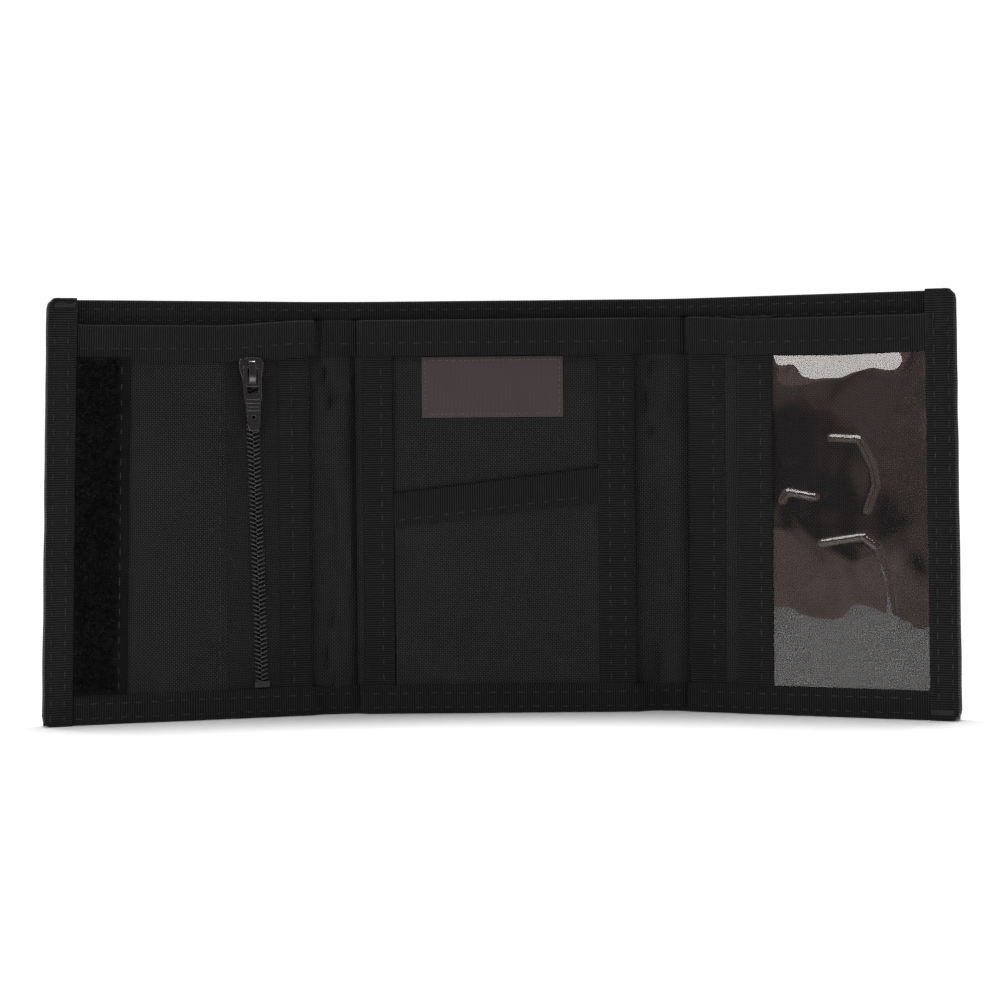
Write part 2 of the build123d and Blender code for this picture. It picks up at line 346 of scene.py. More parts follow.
def build_ribs():
    """Ribs across a tape, crossed by fine warp threads."""
    group, given, out = new_group(
        "tape_ribs",
        [
            ("Vector", "NodeSocketVector", None),
            ("Pitch", "NodeSocketFloat", 0.7),
            ("Thread", "NodeSocketFloat", 0.35),
        ],
        ["Height"],
    )
    along, across = split_xy(group, given.outputs["Vector"])
    rib_turn = math_node(group, "DIVIDE", math.pi, given.outputs["Pitch"])
    rib = math_node(group, "SINE", math_node(group, "MULTIPLY", along, rib_turn))
    rib = math_node(group, "POWER", math_node(group, "ABSOLUTE", rib), 2.4)
    thread_turn = math_node(group, "DIVIDE", math.pi, given.outputs["Thread"])
    thread = math_node(group, "SINE", math_node(group, "MULTIPLY", across, thread_turn))
    thread = math_node(group, "MULTIPLY", math_node(group, "ABSOLUTE", thread), 0.35)
    group.links.new(math_node(group, "ADD", rib, thread), out.inputs["Height"])
    return group


def build_wear():
    """Slow patches and fine flecks of lint, for cloth that has been carried in a pocket."""
    group, given, out = new_group(
        "pocket_wear",
        [("Vector", "NodeSocketVector", None), ("Patch", "NodeSocketFloat", 0.06)],
        ["Patches", "Flecks"],
    )
    vector = given.outputs["Vector"]
    patches = noise_node(group, vector, 0.06, 4.0)
    group.links.new(given.outputs["Patch"], patches.node.inputs["Scale"])
    group.links.new(patches, out.inputs["Patches"])
    specks = noise_node(group, vector, 1.9, 1.0, 0.5)
    specks = math_node(group, "SUBTRACT", specks, 0.74)
    specks = math_node(group, "MULTIPLY", specks, 9.0)
    specks.node.use_clamp = True
    group.links.new(specks, out.inputs["Flecks"])
    return group


WEAVE, RIBS, WEAR = build_weave(), build_ribs(), build_wear()
print("node groups:", [g.name for g in bpy.data.node_groups])

# %% [markdown]
# A material starts the same way each time: a Principled shader whose plain numbers are set on
# its own sockets. Only what changes over the surface is linked: colour, roughness and normal.

# %% One finish from a pattern
def place_group(tree, group, vector, **values):
    node = tree.nodes.new("ShaderNodeGroup")
    node.node_tree = group
    tree.links.new(vector, node.inputs["Vector"])
    for key, value in values.items():
        node.inputs[key].default_value = value
    return node


def shade_between(tree, factor, dark, light):
    node = tree.nodes.new("ShaderNodeMix")
    node.data_type = "RGBA"
    node.inputs["A"].default_value = (*dark, 1)
    node.inputs["B"].default_value = (*light, 1)
    tree.links.new(factor, node.inputs["Factor"])
    return node.outputs["Result"]


def shade_between_colours(tree, factor, colour, light):
    """The same, from a colour that is already a socket."""
    mixed = shade_between(tree, factor, (0, 0, 0), light)
    tree.links.new(colour, mixed.node.inputs["A"])
    return mixed


def spread_between(tree, factor, low, high):
    node = tree.nodes.new("ShaderNodeMapRange")
    tree.links.new(factor, node.inputs["Value"])
    node.inputs["To Min"].default_value = low
    node.inputs["To Max"].default_value = high
    return node.outputs["Result"]


def plain_material(name, **settings):
    material = bpy.data.materials.new(name)
    material.use_nodes = True
    shader = material.node_tree.nodes["Principled BSDF"]
    for key, value in settings.items():
        shader.inputs[key.replace("_", " ")].default_value = value
    return material, material.node_tree, shader


def cloth_material(name, dark, light, pattern, depth, rough, wear=0.25, **settings):
    """A cloth whose pattern gives its height and a painted shade between its threads; wear blends in
    paler patches.
    """
    material, tree, shader = plain_material(name, **settings)
    where = tree.nodes.new("ShaderNodeTexCoord").outputs["UV"]
    group, values = pattern
    height = place_group(tree, group, where, **values).outputs["Height"]
    worn = place_group(tree, WEAR, where)
    tone = math_node(tree, "MULTIPLY", worn.outputs["Patches"], wear)
    # Painted shade: the pattern's height darkens the colour in its hollows and lightens its crests.
    tone = math_node(tree, "ADD", tone, math_node(tree, "MULTIPLY", height, 1.3 - wear))
    tone = math_node(tree, "ADD", tone, math_node(tree, "MULTIPLY", worn.outputs["Flecks"], 1.2))
    tone = math_node(tree, "POWER", math_node(tree, "MULTIPLY", tone, 0.85), 1.7)
    tree.links.new(shade_between(tree, tone, dark, light), shader.inputs["Base Color"])
    roughness = spread_between(tree, worn.outputs["Patches"], rough + 0.08, rough - 0.08)
    tree.links.new(roughness, shader.inputs["Roughness"])
    bump = tree.nodes.new("ShaderNodeBump")
    bump.inputs["Distance"].default_value = depth * MM
    bump.inputs["Strength"].default_value = 0.8
    tree.links.new(height, bump.inputs["Height"])
    tree.links.new(bump.outputs["Normal"], shader.inputs["Normal"])
    return material


# %% The cloths
def grey(value, blue=1.06):
    return (value, value, value * blue)


NYLON_SHEEN = {"Specular_IOR_Level": 0.14, "Sheen_Weight": 0.03, "Sheen_Roughness": 0.4}
NYLON_DEPTH = 0.22  # how far the weave's threads stand out, in millimetres
SHELL = cloth_material(
    "shell_nylon",
    dark=grey(0.0),
    light=grey(0.034),
    pattern=(WEAVE, {"Pitch": 0.56}),
    depth=NYLON_DEPTH,
    rough=0.55,
    **NYLON_SHEEN,
)
LINING = cloth_material(
    "lining_nylon",
    dark=grey(0.0),
    light=grey(0.046),
    pattern=(WEAVE, {"Pitch": 0.57}),
    depth=NYLON_DEPTH,
    rough=0.5,
    **NYLON_SHEEN,
)
GROSGRAIN = cloth_material(
    "grosgrain",
    dark=grey(0.0),
    light=grey(0.026),
    pattern=(RIBS, {"Pitch": 0.7}),
    depth=0.42,
    rough=0.48,
    Specular_IOR_Level=0.09,
    Sheen_Weight=0.02,
    Sheen_Roughness=0.35,
)
ZIP_TAPE = cloth_material(
    "zip_tape",
    dark=grey(0.0),
    light=grey(0.038),
    pattern=(WEAVE, {"Pitch": 0.5}),
    depth=NYLON_DEPTH,
    rough=0.6,
    **NYLON_SHEEN,
)
PILE = cloth_material(
    "loop_pile",
    dark=grey(0.0),
    light=grey(0.023),
    pattern=(WEAVE, {"Pitch": 0.45}),
    depth=0.2,
    rough=0.8,
    Specular_IOR_Level=0.10,
)
LABEL = cloth_material(
    "label_satin",
    dark=(0.028, 0.020, 0.020),
    light=(0.062, 0.046, 0.046),
    pattern=(RIBS, {"Pitch": 0.4, "Thread": 0.3}),
    depth=0.05,
    rough=0.5,
    Specular_IOR_Level=0.35,
)
THREAD = cloth_material(
    "thread",
    dark=grey(0.010),
    light=grey(0.030),
    pattern=(RIBS, {"Pitch": 0.3, "Thread": 0.2}),
    depth=0.05,
    rough=0.45,
    Specular_IOR_Level=0.35,
)
EDGE_YARN = cloth_material(
    "label_edge_yarn",
    dark=(0.06, 0.05, 0.05),
    light=(0.14, 0.12, 0.12),
    pattern=(RIBS, {"Pitch": 0.3, "Thread": 0.2}),
    depth=0.05,
    rough=0.45,
    Specular_IOR_Level=0.4,
)
print("cloths made:", len(bpy.data.materials))

# %% [markdown]
# Hard and clear things have no weave. The coil is satin nylon, the slider is cast metal under
# glossy black enamel that has rubbed thin on its edges, and the window is clear vinyl film.
# Film is real glass to the shader, so it reflects a few percent of the room and shows what is
# behind it.

# %% The hard finishes
def worn_enamel():
    material, tree, shader = plain_material(
        "black_enamel", Specular_IOR_Level=0.8, Coat_Weight=1.0, Coat_Roughness=0.05, Coat_IOR=2.0
    )
    where = tree.nodes.new("ShaderNodeTexCoord").outputs["Object"]
    pits = noise_node(tree, where, 900.0)
    edge = tree.nodes.new("ShaderNodeNewGeometry").outputs["Pointiness"]
    rubbed = math_node(tree, "SUBTRACT", edge, 0.535)
    rubbed = math_node(tree, "MULTIPLY", rubbed, 8.0)
    rubbed = math_node(tree, "MULTIPLY", rubbed, pits)
    rubbed.node.use_clamp = True
    colour = shade_between(tree, rubbed, (0.004, 0.004, 0.005), (0.10, 0.10, 0.105))
    tree.links.new(colour, shader.inputs["Base Color"])
    tree.links.new(spread_between(tree, pits, 0.10, 0.26), shader.inputs["Roughness"])
    bump = tree.nodes.new("ShaderNodeBump")
    bump.inputs["Distance"].default_value = 0.02 * MM
    tree.links.new(pits, bump.inputs["Height"])
    tree.links.new(bump.outputs["Normal"], shader.inputs["Normal"])
    return material


def satin_plastic(name, tone, rough, scale, gloss=0.5):
    material, tree, shader = plain_material(name, Specular_IOR_Level=gloss)
    where = tree.nodes.new("ShaderNodeTexCoord").outputs["Object"]
    grain = noise_node(tree, where, scale)
    colour = shade_between(tree, grain, grey(tone * 0.6), grey(tone * 1.4))
    tree.links.new(colour, shader.inputs["Base Color"])
    tree.links.new(spread_between(tree, grain, rough - 0.08, rough + 0.1), shader.inputs["Roughness"])
    return material


def clear_film():
    material, tree, shader = plain_material(
        "clear_vinyl", Transmission_Weight=1.0, IOR=1.5, Base_Color=(0.93, 0.92, 0.90, 1)
    )
    where = tree.nodes.new("ShaderNodeTexCoord").outputs["UV"]
    haze = noise_node(tree, where, 0.05, 4.0)
    tree.links.new(spread_between(tree, haze, 0.0, 0.012), shader.inputs["Roughness"])
    return material


ENAMEL = worn_enamel()
COIL = satin_plastic("zip_coil", tone=0.040, rough=0.24, scale=700.0)
HOOKS = satin_plastic("hook_tape", tone=0.004, rough=0.55, scale=500.0, gloss=0.15)
STOP_METAL = satin_plastic("stop_metal", tone=0.006, rough=0.4, scale=700.0)
FILM = clear_film()
print("all finishes:", sorted(m.name for m in bpy.data.materials))

# %% [markdown]
# ## Stretches that bend
#
# Shell, lining and the long tapes run unbroken through every fold. A piece can bend between two
# bodies only, so each long layer is made in four stretches. They meet in the middle of a spine,
# and once in the centre behind the seam tape, where nothing moves and the joint can't be seen.

# %% Where the stretches meet, and what they bend between
UNDER_SIDE_TAPE = 2.4  # the long layers end this far inside the side tapes
MID_LEFT = (FOLDS["left_wing_fold"][0] + FOLDS["left_spine_fold"][0]) / 2
MID_RIGHT = (FOLDS["right_wing_fold"][0] + FOLDS["right_spine_fold"][0]) / 2
SEAM = flat_box("seam_tape")
BEHIND_SEAM = (SEAM[0][0] + SEAM[1][0]) / 2
STRETCHES = {
    "left_a": ("left_wing", "left_spine", "left_wing_fold", LEFT_END + UNDER_SIDE_TAPE, MID_LEFT),
    "left_b": ("left_spine", "centre", "left_spine_fold", MID_LEFT, BEHIND_SEAM),
    "right_b": ("centre", "right_spine", "right_spine_fold", BEHIND_SEAM, MID_RIGHT),
    "right_a": ("right_spine", "right_wing", "right_wing_fold", MID_RIGHT, RIGHT_END - UNDER_SIDE_TAPE),
}


def stretch_at(x):
    """The stretch that covers a place along the wallet."""
    for name, (_, _, _, start, end) in STRETCHES.items():
        if x <= end:
            return name
    return "right_a"


def settle(piece, home, material, nodes=()):
    """Folds a flat piece into the standing pose and dresses it; a piece of one body is attached to that
    body, a stretch stays where it lies.
    """
    spots = points_of(piece)
    spots[:, 0] += skew(spots[:, 0], spots[:, 2])
    put_points(piece, fold_up(spots) * MM)
    piece.data.materials.clear()
    piece.data.materials.append(material)
    only(piece)
    bpy.ops.object.shade_smooth_by_angle(angle=math.radians(42))
    if material is ENAMEL:
        apply_modifier(piece, "WEIGHTED_NORMAL", weight=100, keep_sharp=True)
    if home in STRETCHES:
        first, second, fold, _, _ = STRETCHES[home]
        line = FOLDS[fold][0]
        ends = np.array([[line - SOFT_BEND, 0, 0], [line + SOFT_BEND, 0, 0]])
        start, end = fold_up(ends) * MM
        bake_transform(piece)
    else:
        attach(piece, home)
    if nodes:
        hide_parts(*nodes)


print("stretches meet at x =", round(MID_LEFT, 1), round(BEHIND_SEAM, 1), round(MID_RIGHT, 1))

# %% [markdown]
# ## A sheet and a wrapped tape
#
# Two shapes make nearly all of the wallet. A sheet is a fine grid, pushed to its depth and waves
# and then given its thickness by Solidify. A binding is a woven tape folded over a raw edge: the
# same grid, but its cross-section runs up one face, round the edge and down the other. A bevelled
# curve would give a tape too, but a grid lets the rows of stitching dent it.

# %% Flat surfaces that stitches can find later
SURFACES = {}


def remember(piece):
    """Keeps the flat surface, so that thread can be laid on it after the piece is folded."""
    shape = [tuple(v) for v in points_of(piece)]
    faces = [tuple(f.vertices) for f in piece.data.polygons]
    SURFACES[piece.name] = BVHTree.FromPolygons(shape, faces)


def thicken(piece, thick):
    """Gives a grid its thickness, on the side behind its face."""
    apply_modifier(piece, "SOLIDIFY", thickness=thick, offset=-1.0)
    remember(piece)


CLOTH_STEP = 1.8  # the size of the grid's squares on cloth


def sheet_piece(name, span, low, high, depth, thick, step=CLOTH_STEP, more=None):
    """Cloth between two edges; depth is its front face, and more(x, z) adds its own shape."""
    width = span[1] - span[0]
    tall = float(np.max(high(np.array(span))) - np.min(low(np.array(span))))
    piece, s, t = grid_piece(name, max(2, round(width / step)), max(2, round(tall / step)))
    x = span[0] + s * width
    z = low(x) + t * (high(x) - low(x))
    front = depth(x) if callable(depth) else np.full(len(x), depth)
    front = front + waves(x, z)
    if more:
        front = front + more(x, z)
    put_points(piece, np.stack([x, -front, z], axis=1))
    put_map(piece, np.stack([x, z], axis=1))
    thicken(piece, thick)
    return piece


def always(value):
    """A straight edge or an even depth."""
    return lambda x: np.full(len(x), float(value))


# %% A tape folded over an edge
TAPE_THICK = 0.35


def wrap_tape(name, span, edge, inward, depths, widths, rows=(), upright=False, square=False):
    """A tape over an edge: depths(a) gives its back and front, widths its reach on each."""
    length = span[1] - span[0]
    many = max(3, round(length / 1.5))
    if upright:
        piece, across, along = grid_piece(name, 44, many)
    else:
        piece, along, across = grid_piece(name, many, 44)
    t = across if inward > 0 else 1 - across
    a = span[0] + along * length
    bend = np.clip((t - 0.42) / 0.14, 0, 1) * math.pi
    share = (1 - np.cos(bend)) / 2
    round_off = 0.5
    front_reach = widths[1](a) if callable(widths[1]) else widths[1]
    reach = np.where(t < 0.5, widths[0], front_reach)
    if square:
        reach = reach - inward * (edge(a) - edge(np.full(len(a), sum(span) / 2)))
    leg = np.where(t < 0.5, 1 - t / 0.42, (t - 0.56) / 0.44)
    leg = np.clip(leg, 0, 1)
    down = round_off * (1 - np.sin(bend)) + (reach - round_off) * leg
    wander = 0.12 * ripple(a, t * 0 + 3, 9, len(name) * 1.3) * leg
    low, high = depths(a)
    middle = (low + high) / 2
    d = low + share * (high - low)
    press = np.zeros(len(a))
    for row in rows:
        press += 0.13 * np.exp(-(((down - row) / 0.75) ** 2))
    press += 0.14 * smooth((down - reach + 0.8) / 0.8)
    press -= 0.05 * ripple(a, t * 12, 6, len(name) * 0.7)
    d = d - np.sign(d - middle) * press * np.clip(leg * 6, 0, 1)
    place = edge(a) + inward * (down + wander)
    x, z = (place, a) if upright else (a, place)
    put_points(piece, np.stack([x, -(d + waves(x, z)), z], axis=1))
    v = np.where(t < 0.5, -down, down + 1.2)
    put_map(piece, np.stack([a, v], axis=1))
    thicken(piece, TAPE_THICK)
    return piece


def strip_piece(name, span, tall, depth, thick, rows=()):
    """An upright strip that lies flat and is sewn down along its edges."""
    width = span[1] - span[0]
    piece, s, t = grid_piece(name, max(8, round(width / 0.45)), round((tall[1] - tall[0]) / 1.5))
    x = span[0] + s * width + 0.12 * ripple(s * 3, t * 90, 9, 4.4)
    z = tall[0] + t * (tall[1] - tall[0])
    edge = np.minimum(s, 1 - s) * width
    curl = 0.12
    d = depth - curl * (1 - smooth(edge / 0.8)) - 0.05 * ripple(x, z, 5, 2.2)
    for row in rows:
        d = d - 0.10 * np.exp(-(((x - row) / 0.7) ** 2))
    put_points(piece, np.stack([x, -(d + waves(x, z)), z], axis=1))
    put_map(piece, np.stack([z, x], axis=1))
    thicken(piece, thick)
    return piece


# %% [markdown]
# ## Shell and lining
#
# The outer shell is one rectangle of nylon. The inner panel is the front wall of the compartment
# for notes, a little lower than the shell. Both pass through all four folds.

# %% Shell and lining
FOOT = 0.4  # every layer starts this far above the wallet's lower edge
SHELL_CLOTH, CLOTH = 0.75, 0.4  # the thickness of the shell and of the lining
INNER_TOP = float(flat_box("centre_inner_top_binding")[1][2])


def inner_edge(x):
    """The lining's top edge, which sags a little in the left wing and bows in the right."""
    sag = -1.7 * smooth((-60 - x) / 30) * smooth((x + 140) / 12)
    return INNER_TOP + sag - 1.2 * smooth((x - 56) / 20) * smooth((137 - x) / 12)


def under_binding(x):
    """The top of every layer that the lining's binding covers."""
    return inner_edge(x) - 0.45


def long_layer(kind, high, depth, thick, material):
    for home, (_, _, _, start, end) in STRETCHES.items():
        piece = sheet_piece(kind + "_" + home, (start, end), always(FOOT), high, depth, thick)
        settle(piece, home, material, NODES_OF[home](kind))
        tall = float(np.mean(high(np.linspace(start, end, 20)))) - FOOT


NODES_OF = {
    "left_a": lambda kind: ["left_wing_" + kind, "left_spine_" + kind],
    "left_b": lambda kind: ["centre_" + kind],
    "right_b": lambda kind: ["right_spine_" + kind],
    "right_a": lambda kind: ["right_wing_" + kind],
}
SHELL_TOP = flat_box("centre_outer_shell")[1][2]
long_layer("outer_shell", always(SHELL_TOP), 0.0, SHELL_CLOTH, SHELL)
long_layer("inner_panel", under_binding, 1.2, CLOTH, LINING)
print("long layers made:", len(SURFACES))

# %% [markdown]
# ## Pockets
#
# Each pocket is a panel with one open, bound edge. The card pocket opens sideways, the second
# one has a slanted mouth, the right wing holds a card slot and a window of clear film, and the
# left wing's pocket front reaches the zip.

# %% Pocket panels
def pocket(name, home, span, high, depth, more=None):
    """A panel of lining cloth that stands on the wallet's lower edge."""
    piece = sheet_piece(name, span, always(FOOT), high, depth, CLOTH, more=more)
    tops = high(np.linspace(span[0], span[1], 30))
    settle(piece, home, LINING, [name.replace("_cloth", "")])


def slant_edge(x):
    """The slanted mouth, which rises towards the right."""
    return 66.9 + 0.118 * (x - SLANT[0][0])


SLANT = flat_box("slant_pocket_binding")
CARD = flat_box("card_pocket_panel")
pocket("card_pocket_panel_cloth", "centre", (CARD[0][0] + 0.5, CARD[1][0]), under_binding, 2.05)
pocket(
    "slant_pocket_panel_cloth",
    "centre",
    (SLANT[0][0] + 0.3, CARD[1][0]),
    lambda x: slant_edge(x) - 0.6,
    2.9,
)
SLOT_PANEL = flat_box("card_slot_panel")
pocket(
    "card_slot_panel_cloth",
    "right_wing",
    (SLOT_PANEL[0][0] + 0.5, SLOT_PANEL[1][0]),
    under_binding,
    2.05,
    lambda x, z: -0.4 * np.exp(-(((x - 69.9) / 0.7) ** 2)),
)
FRONT = flat_box("zip_pocket_front")


def full_pocket(x, z):
    """The pocket front stands a little proud between its seams."""
    across = np.clip((x - FRONT[0][0] - 24) / (FRONT[1][0] - FRONT[0][0] - 24), 0, 1)
    return 0.22 * np.sin(across * math.pi) * np.sin(np.clip((z - 8) / 100, 0, 1) * math.pi)


pocket(
    "zip_pocket_front_cloth",
    "left_wing",
    (FRONT[0][0], FRONT[1][0]),
    under_binding,
    lambda x: 2.85 - 0.35 * smooth((x - FRONT[1][0] + 3) / 3),
    full_pocket,
)
print("pockets done")

# %% [markdown]
# The window is vinyl film. It's made like the cloth, but film buckles in long, soft bends and
# keeps a few sharp creases, and those bends are what the room's reflection runs along.

# %% The window's film
PANE = flat_box("window_pane")
PANE_START = PANE[0][0] + 0.4
FILM_THICK, FILM_STEP = 0.25, 0.55  # a fine grid, because every bend shows in the reflection
FILM_CREASES = [
    [(96.0, 51.5), (108.5, 53.5), (113.0, 50.0), (115.6, 40.5), (117.0, 30.0)],
    [(99.0, 82.5), (107.5, 82.0), (111.5, 74.0), (112.3, 68.5), (109.6, 61.0)],
    [(84.5, 64.0), (85.8, 66.6), (94.5, 65.0)],
]


def film_bends(x, z):
    calm = 0.12 + 0.88 * smooth((z - 42) / 22)
    d = calm * (0.12 * ripple(x, z * 0.7, 46, 9.1) + 0.03 * ripple(x, z, 15, 3.3))
    d = d - 0.007 * (x - 77) / 50 * (z - 60)
    lit = smooth((x - 80) / 4) * smooth((124 - x) / 10)
    ragged = 4.5 * ripple(x, z, 14, 7.7) + 1.1 * ripple(x, z, 5, 2.7)
    d = d - 0.42 * lit * smooth((z - 100 + ragged) / 11)
    d = d + 0.007 * lit * smooth((z - 98) / 5) * ripple(x, z, 6, 4.4)
    for crease in FILM_CREASES:
        d = d + 0.12 * np.exp(-((near_line(x, z, crease) / 0.5) ** 2))
    inside = np.minimum(np.minimum(x - PANE[0][0], PANE[1][0] - x), np.minimum(z, 119 - z))
    return d * smooth((inside + 1) / 6)


film = sheet_piece(
    "window_film",
    (PANE_START, PANE[1][0]),
    always(FOOT),
    under_binding,
    2.9,
    FILM_THICK,
    FILM_STEP,
    film_bends,
)
settle(film, "right_wing", FILM, ["window_pane"])
print("film has", len(film.data.polygons), "faces")

# %% [markdown]
# ## Bindings along the wallet
#
# The tape over the shell's edge is thin. The tapes over the lining's top and along the bottom
# also hold every pocket, so they step up where pockets are sewn in and drop at the spines.

# %% The long bindings
ROWS = {  # how far each row of stitches lies from the edge of its tape
    "outer_top": (2.6, 5.9),
    "inner_top": (7.0,),
    "bottom": (2.0, 6.3),
    "left_side": (2.3, 6.3),
    "right_side": (2.0, 6.2),
    "slant": (8.4,),
}


def stepped(pairs):
    """A depth that changes smoothly between given places."""
    places, values = np.array(pairs, float).T

    def depth(x):
        i = np.clip(np.searchsorted(places, x, side="right") - 1, 0, len(places) - 2)
        t = smooth((x - places[i]) / (places[i + 1] - places[i]))
        return values[i] + t * (values[i + 1] - values[i])

    return depth


CHAIN_X = float(CHAIN[0])
FROM_SPINE_ON = [(-61.2, 3.2), (-57.6, 1.55), (-47.2, 1.55), (-43.6, 3.6), (37.9, 3.6)]
FROM_SPINE_ON += [(43.0, 1.55), (51.6, 1.55), (55.2, 2.8), (66.6, 2.8), (70.6, 3.6), (150, 3.6)]
OVER_CHAIN = [(CHAIN_X - 8, 3.3), (CHAIN_X - 3, 3.7), (CHAIN_X + 3, 3.7), (CHAIN_X + 8, 3.25)]
TOP_STEPS = stepped([(-150, 3.3)] + OVER_CHAIN + FROM_SPINE_ON)
BOTTOM_STEPS = stepped([(-150, 3.3)] + FROM_SPINE_ON)


def sagging_reach(x):
    """The lining's tape hangs a little lower between the seams that hold it."""
    reach = 10.9 + 0.8 * np.exp(-(((x + 103) / 9) ** 2)) + 0.5 * np.exp(-(((x + 70) / 5) ** 2))
    return reach + 0.3 * np.exp(-(((x - 20) / 9) ** 2)) + 0.4 * np.exp(-(((x - 100) / 14) ** 2))


def long_binding(kind, edge, inward, depths, widths, rows):
    for home, (_, _, _, start, end) in STRETCHES.items():
        name = kind + "_" + home
        piece = wrap_tape(name, (start, end), edge, inward, depths, widths, rows)
        settle(piece, home, GROSGRAIN, NODES_OF[home](kind))


long_binding(
    "outer_top_binding",
    always(HEIGHT),
    -1,
    lambda x: (x * 0 - 1.15, x * 0 + 0.35),
    (8.5, 8.5),
    ROWS["outer_top"],
)
long_binding(
    "inner_top_binding",
    inner_edge,
    -1,
    lambda x: (x * 0 + 0.45, TOP_STEPS(x)),
    (10.4, sagging_reach),
    ROWS["inner_top"],
)
long_binding(
    "bottom_binding",
    always(0.0),
    1,
    lambda x: (x * 0 - 1.15, BOTTOM_STEPS(x)),
    (8.5, 8.7),
    ROWS["bottom"],
)
print("long bindings made")

# %% [markdown]
# ## Upright bindings
#
# The free ends of the wallet are closed by tapes that wrap every layer. The mouths of the
# pockets are bound the same way. A plain strip covers the seam to the right of the centre.

# %% Bindings at the free ends
def side_depths(back, front):
    return lambda a: (a * 0 + back, a * 0 + front)


def soft_end(place, inward):
    """A side edge that wanders and is rounded at its corners."""

    def edge(a):
        corner = np.maximum(3.0 - a, a - HEIGHT + 2.7)
        cut_in = 3.0 - np.sqrt(9.0 - np.clip(corner, 0, 2.9) ** 2)
        return place + inward * (cut_in * 0.8 + 0.15 + 0.18 * ripple(a, a * 0 + place, 11, 3.1))

    return edge


left_side = wrap_tape(
    "left_side_tape",
    (0.0, HEIGHT + 0.3),
    soft_end(LEFT_END, 1),
    1,
    side_depths(-1.5, 4.0),
    (8.5, 8.5),
    ROWS["left_side"],
    upright=True,
    square=True,
)
settle(left_side, "left_wing", GROSGRAIN, ["left_side_binding"])
right_side = wrap_tape(
    "right_side_tape",
    (0.0, HEIGHT + 0.3),
    soft_end(RIGHT_END, -1),
    -1,
    side_depths(-1.5, 3.7),
    (8.5, 8.5),
    ROWS["right_side"],
    upright=True,
    square=True,
)
settle(right_side, "right_wing", GROSGRAIN, ["right_side_binding"])
print("free ends bound at x =", round(LEFT_END, 1), "and", round(RIGHT_END, 1))

# %% Bindings of the pocket mouths
MOUTHS = [
    ("card_pocket_binding", "centre", 1, (1.35, 3.25), (5.8,)),
    ("card_slot_binding", "right_wing", 1, (1.35, 2.45), (7.6,)),
    ("window_binding", "right_wing", 1, (2.3, 3.3), (7.2,)),
    ("zip_edge_binding", "left_wing", -1, (1.8, 2.85), (5.6,)),
]


def mouth_edge(node, inward):
    """x of a mouth's bound edge; the card pocket's tape stands out past its CAD node."""
    low, high = flat_box(node)
    edge = low[0] if inward > 0 else high[0]
    return edge - 1.2 if node == "card_pocket_binding" else edge


for node, home, inward, (back, front), rows in MOUTHS:
    low, high = flat_box(node)
    edge = mouth_edge(node, inward)
    reach = (high[0] if inward > 0 else low[0]) * inward - edge * inward
    tape = wrap_tape(
        node + "_tape",
        (FOOT, high[2]),
        always(edge),
        inward,
        side_depths(back, front),
        (reach - 0.5, reach),
        rows,
        upright=True,
    )
    settle(tape, home, GROSGRAIN, [node])
slant_low, slant_high = SLANT
slant_tape = wrap_tape(
    "slant_tape",
    (slant_low[0], slant_high[0] + 0.4),
    slant_edge,
    -1,
    side_depths(2.2, 3.25),
    (9.5, 10.6),
    ROWS["slant"],
)
settle(slant_tape, "centre", GROSGRAIN, ["slant_pocket_binding"])
SEAM_ROWS = (30.2, 34.6)  # x of the two rows that hold the seam tape
seam_strip = strip_piece(
    "seam_strip", (SEAM[0][0], SEAM[1][0]), (FOOT, SEAM[1][2]), 3.28, 0.34, SEAM_ROWS
)
settle(seam_strip, "centre", GROSGRAIN, ["seam_tape"])
print("mouths bound:", len(MOUTHS) + 1)

# %% [markdown]
# ## Thread
#
# Machine stitches are short, round bridges of thread: they rise from the cloth, run straight and
# dive in again. One stitch is modelled as a small capsule and copied along each seam. A ray from
# the front finds the cloth under both ends, so the thread follows every dent and wave.

# %% One stitch, and rows of it
bpy.ops.object.select_all(action="DESELECT")
bpy.ops.mesh.primitive_uv_sphere_add(segments=6, ring_count=6, radius=1)
stitch_form = bpy.context.object
bpy.ops.transform.rotate(value=math.pi / 2, orient_axis="Y", center_override=(0, 0, 0))
bpy.ops.object.transform_apply(location=False, rotation=True, scale=True)
STITCH = points_of(stitch_form)
STITCH_FACES = [tuple(f.vertices) for f in stitch_form.data.polygons]
bpy.data.objects.remove(stitch_form)
PITCH, SEEN = 4.4, 2.5  # from one stitch to the next, and how much of each shows
THREAD_R = 0.16
THREADS = {}


def under(hosts, x, z, back=False):
    """Depth of the cloth that shows at a place, seen from the front or the back."""
    start, toward = (30, -1) if back else (-30, 1)
    found = []
    for host in hosts:
        hit = SURFACES[host].ray_cast(Vector((x, start, z)), Vector((0, toward, 0)))[0]
        if hit is not None:
            found.append(-hit.y)
    if not found:
        return None
    return min(found) if back else max(found)


def lay_stitch(home, hosts, p, q, back=False, radius=THREAD_R, lift=0.07):
    """One bridge of thread from p to q, both (x, z)."""
    side = -1 if back else 1
    depths = [under(hosts, p[0], p[1], back), under(hosts, q[0], q[1], back)]
    if None in depths:
        return
    u = STITCH[:, 0]
    along = (np.sign(u) * np.abs(u) ** 0.75 + 1) / 2
    dx, dz = q[0] - p[0], q[1] - p[1]
    size = math.hypot(dx, dz) or 1
    aside = STITCH[:, 1] * radius
    rise = STITCH[:, 2] * radius + lift * (1 - u**2) - 0.04
    x = p[0] + dx * along - aside * dz / size
    z = p[1] + dz * along + aside * dx / size
    d = depths[0] + (depths[1] - depths[0]) * along + side * rise
    spots = np.stack([x, -d, z], axis=1)
    THREADS.setdefault(home, []).append((spots, along * size, STITCH[:, 1]))


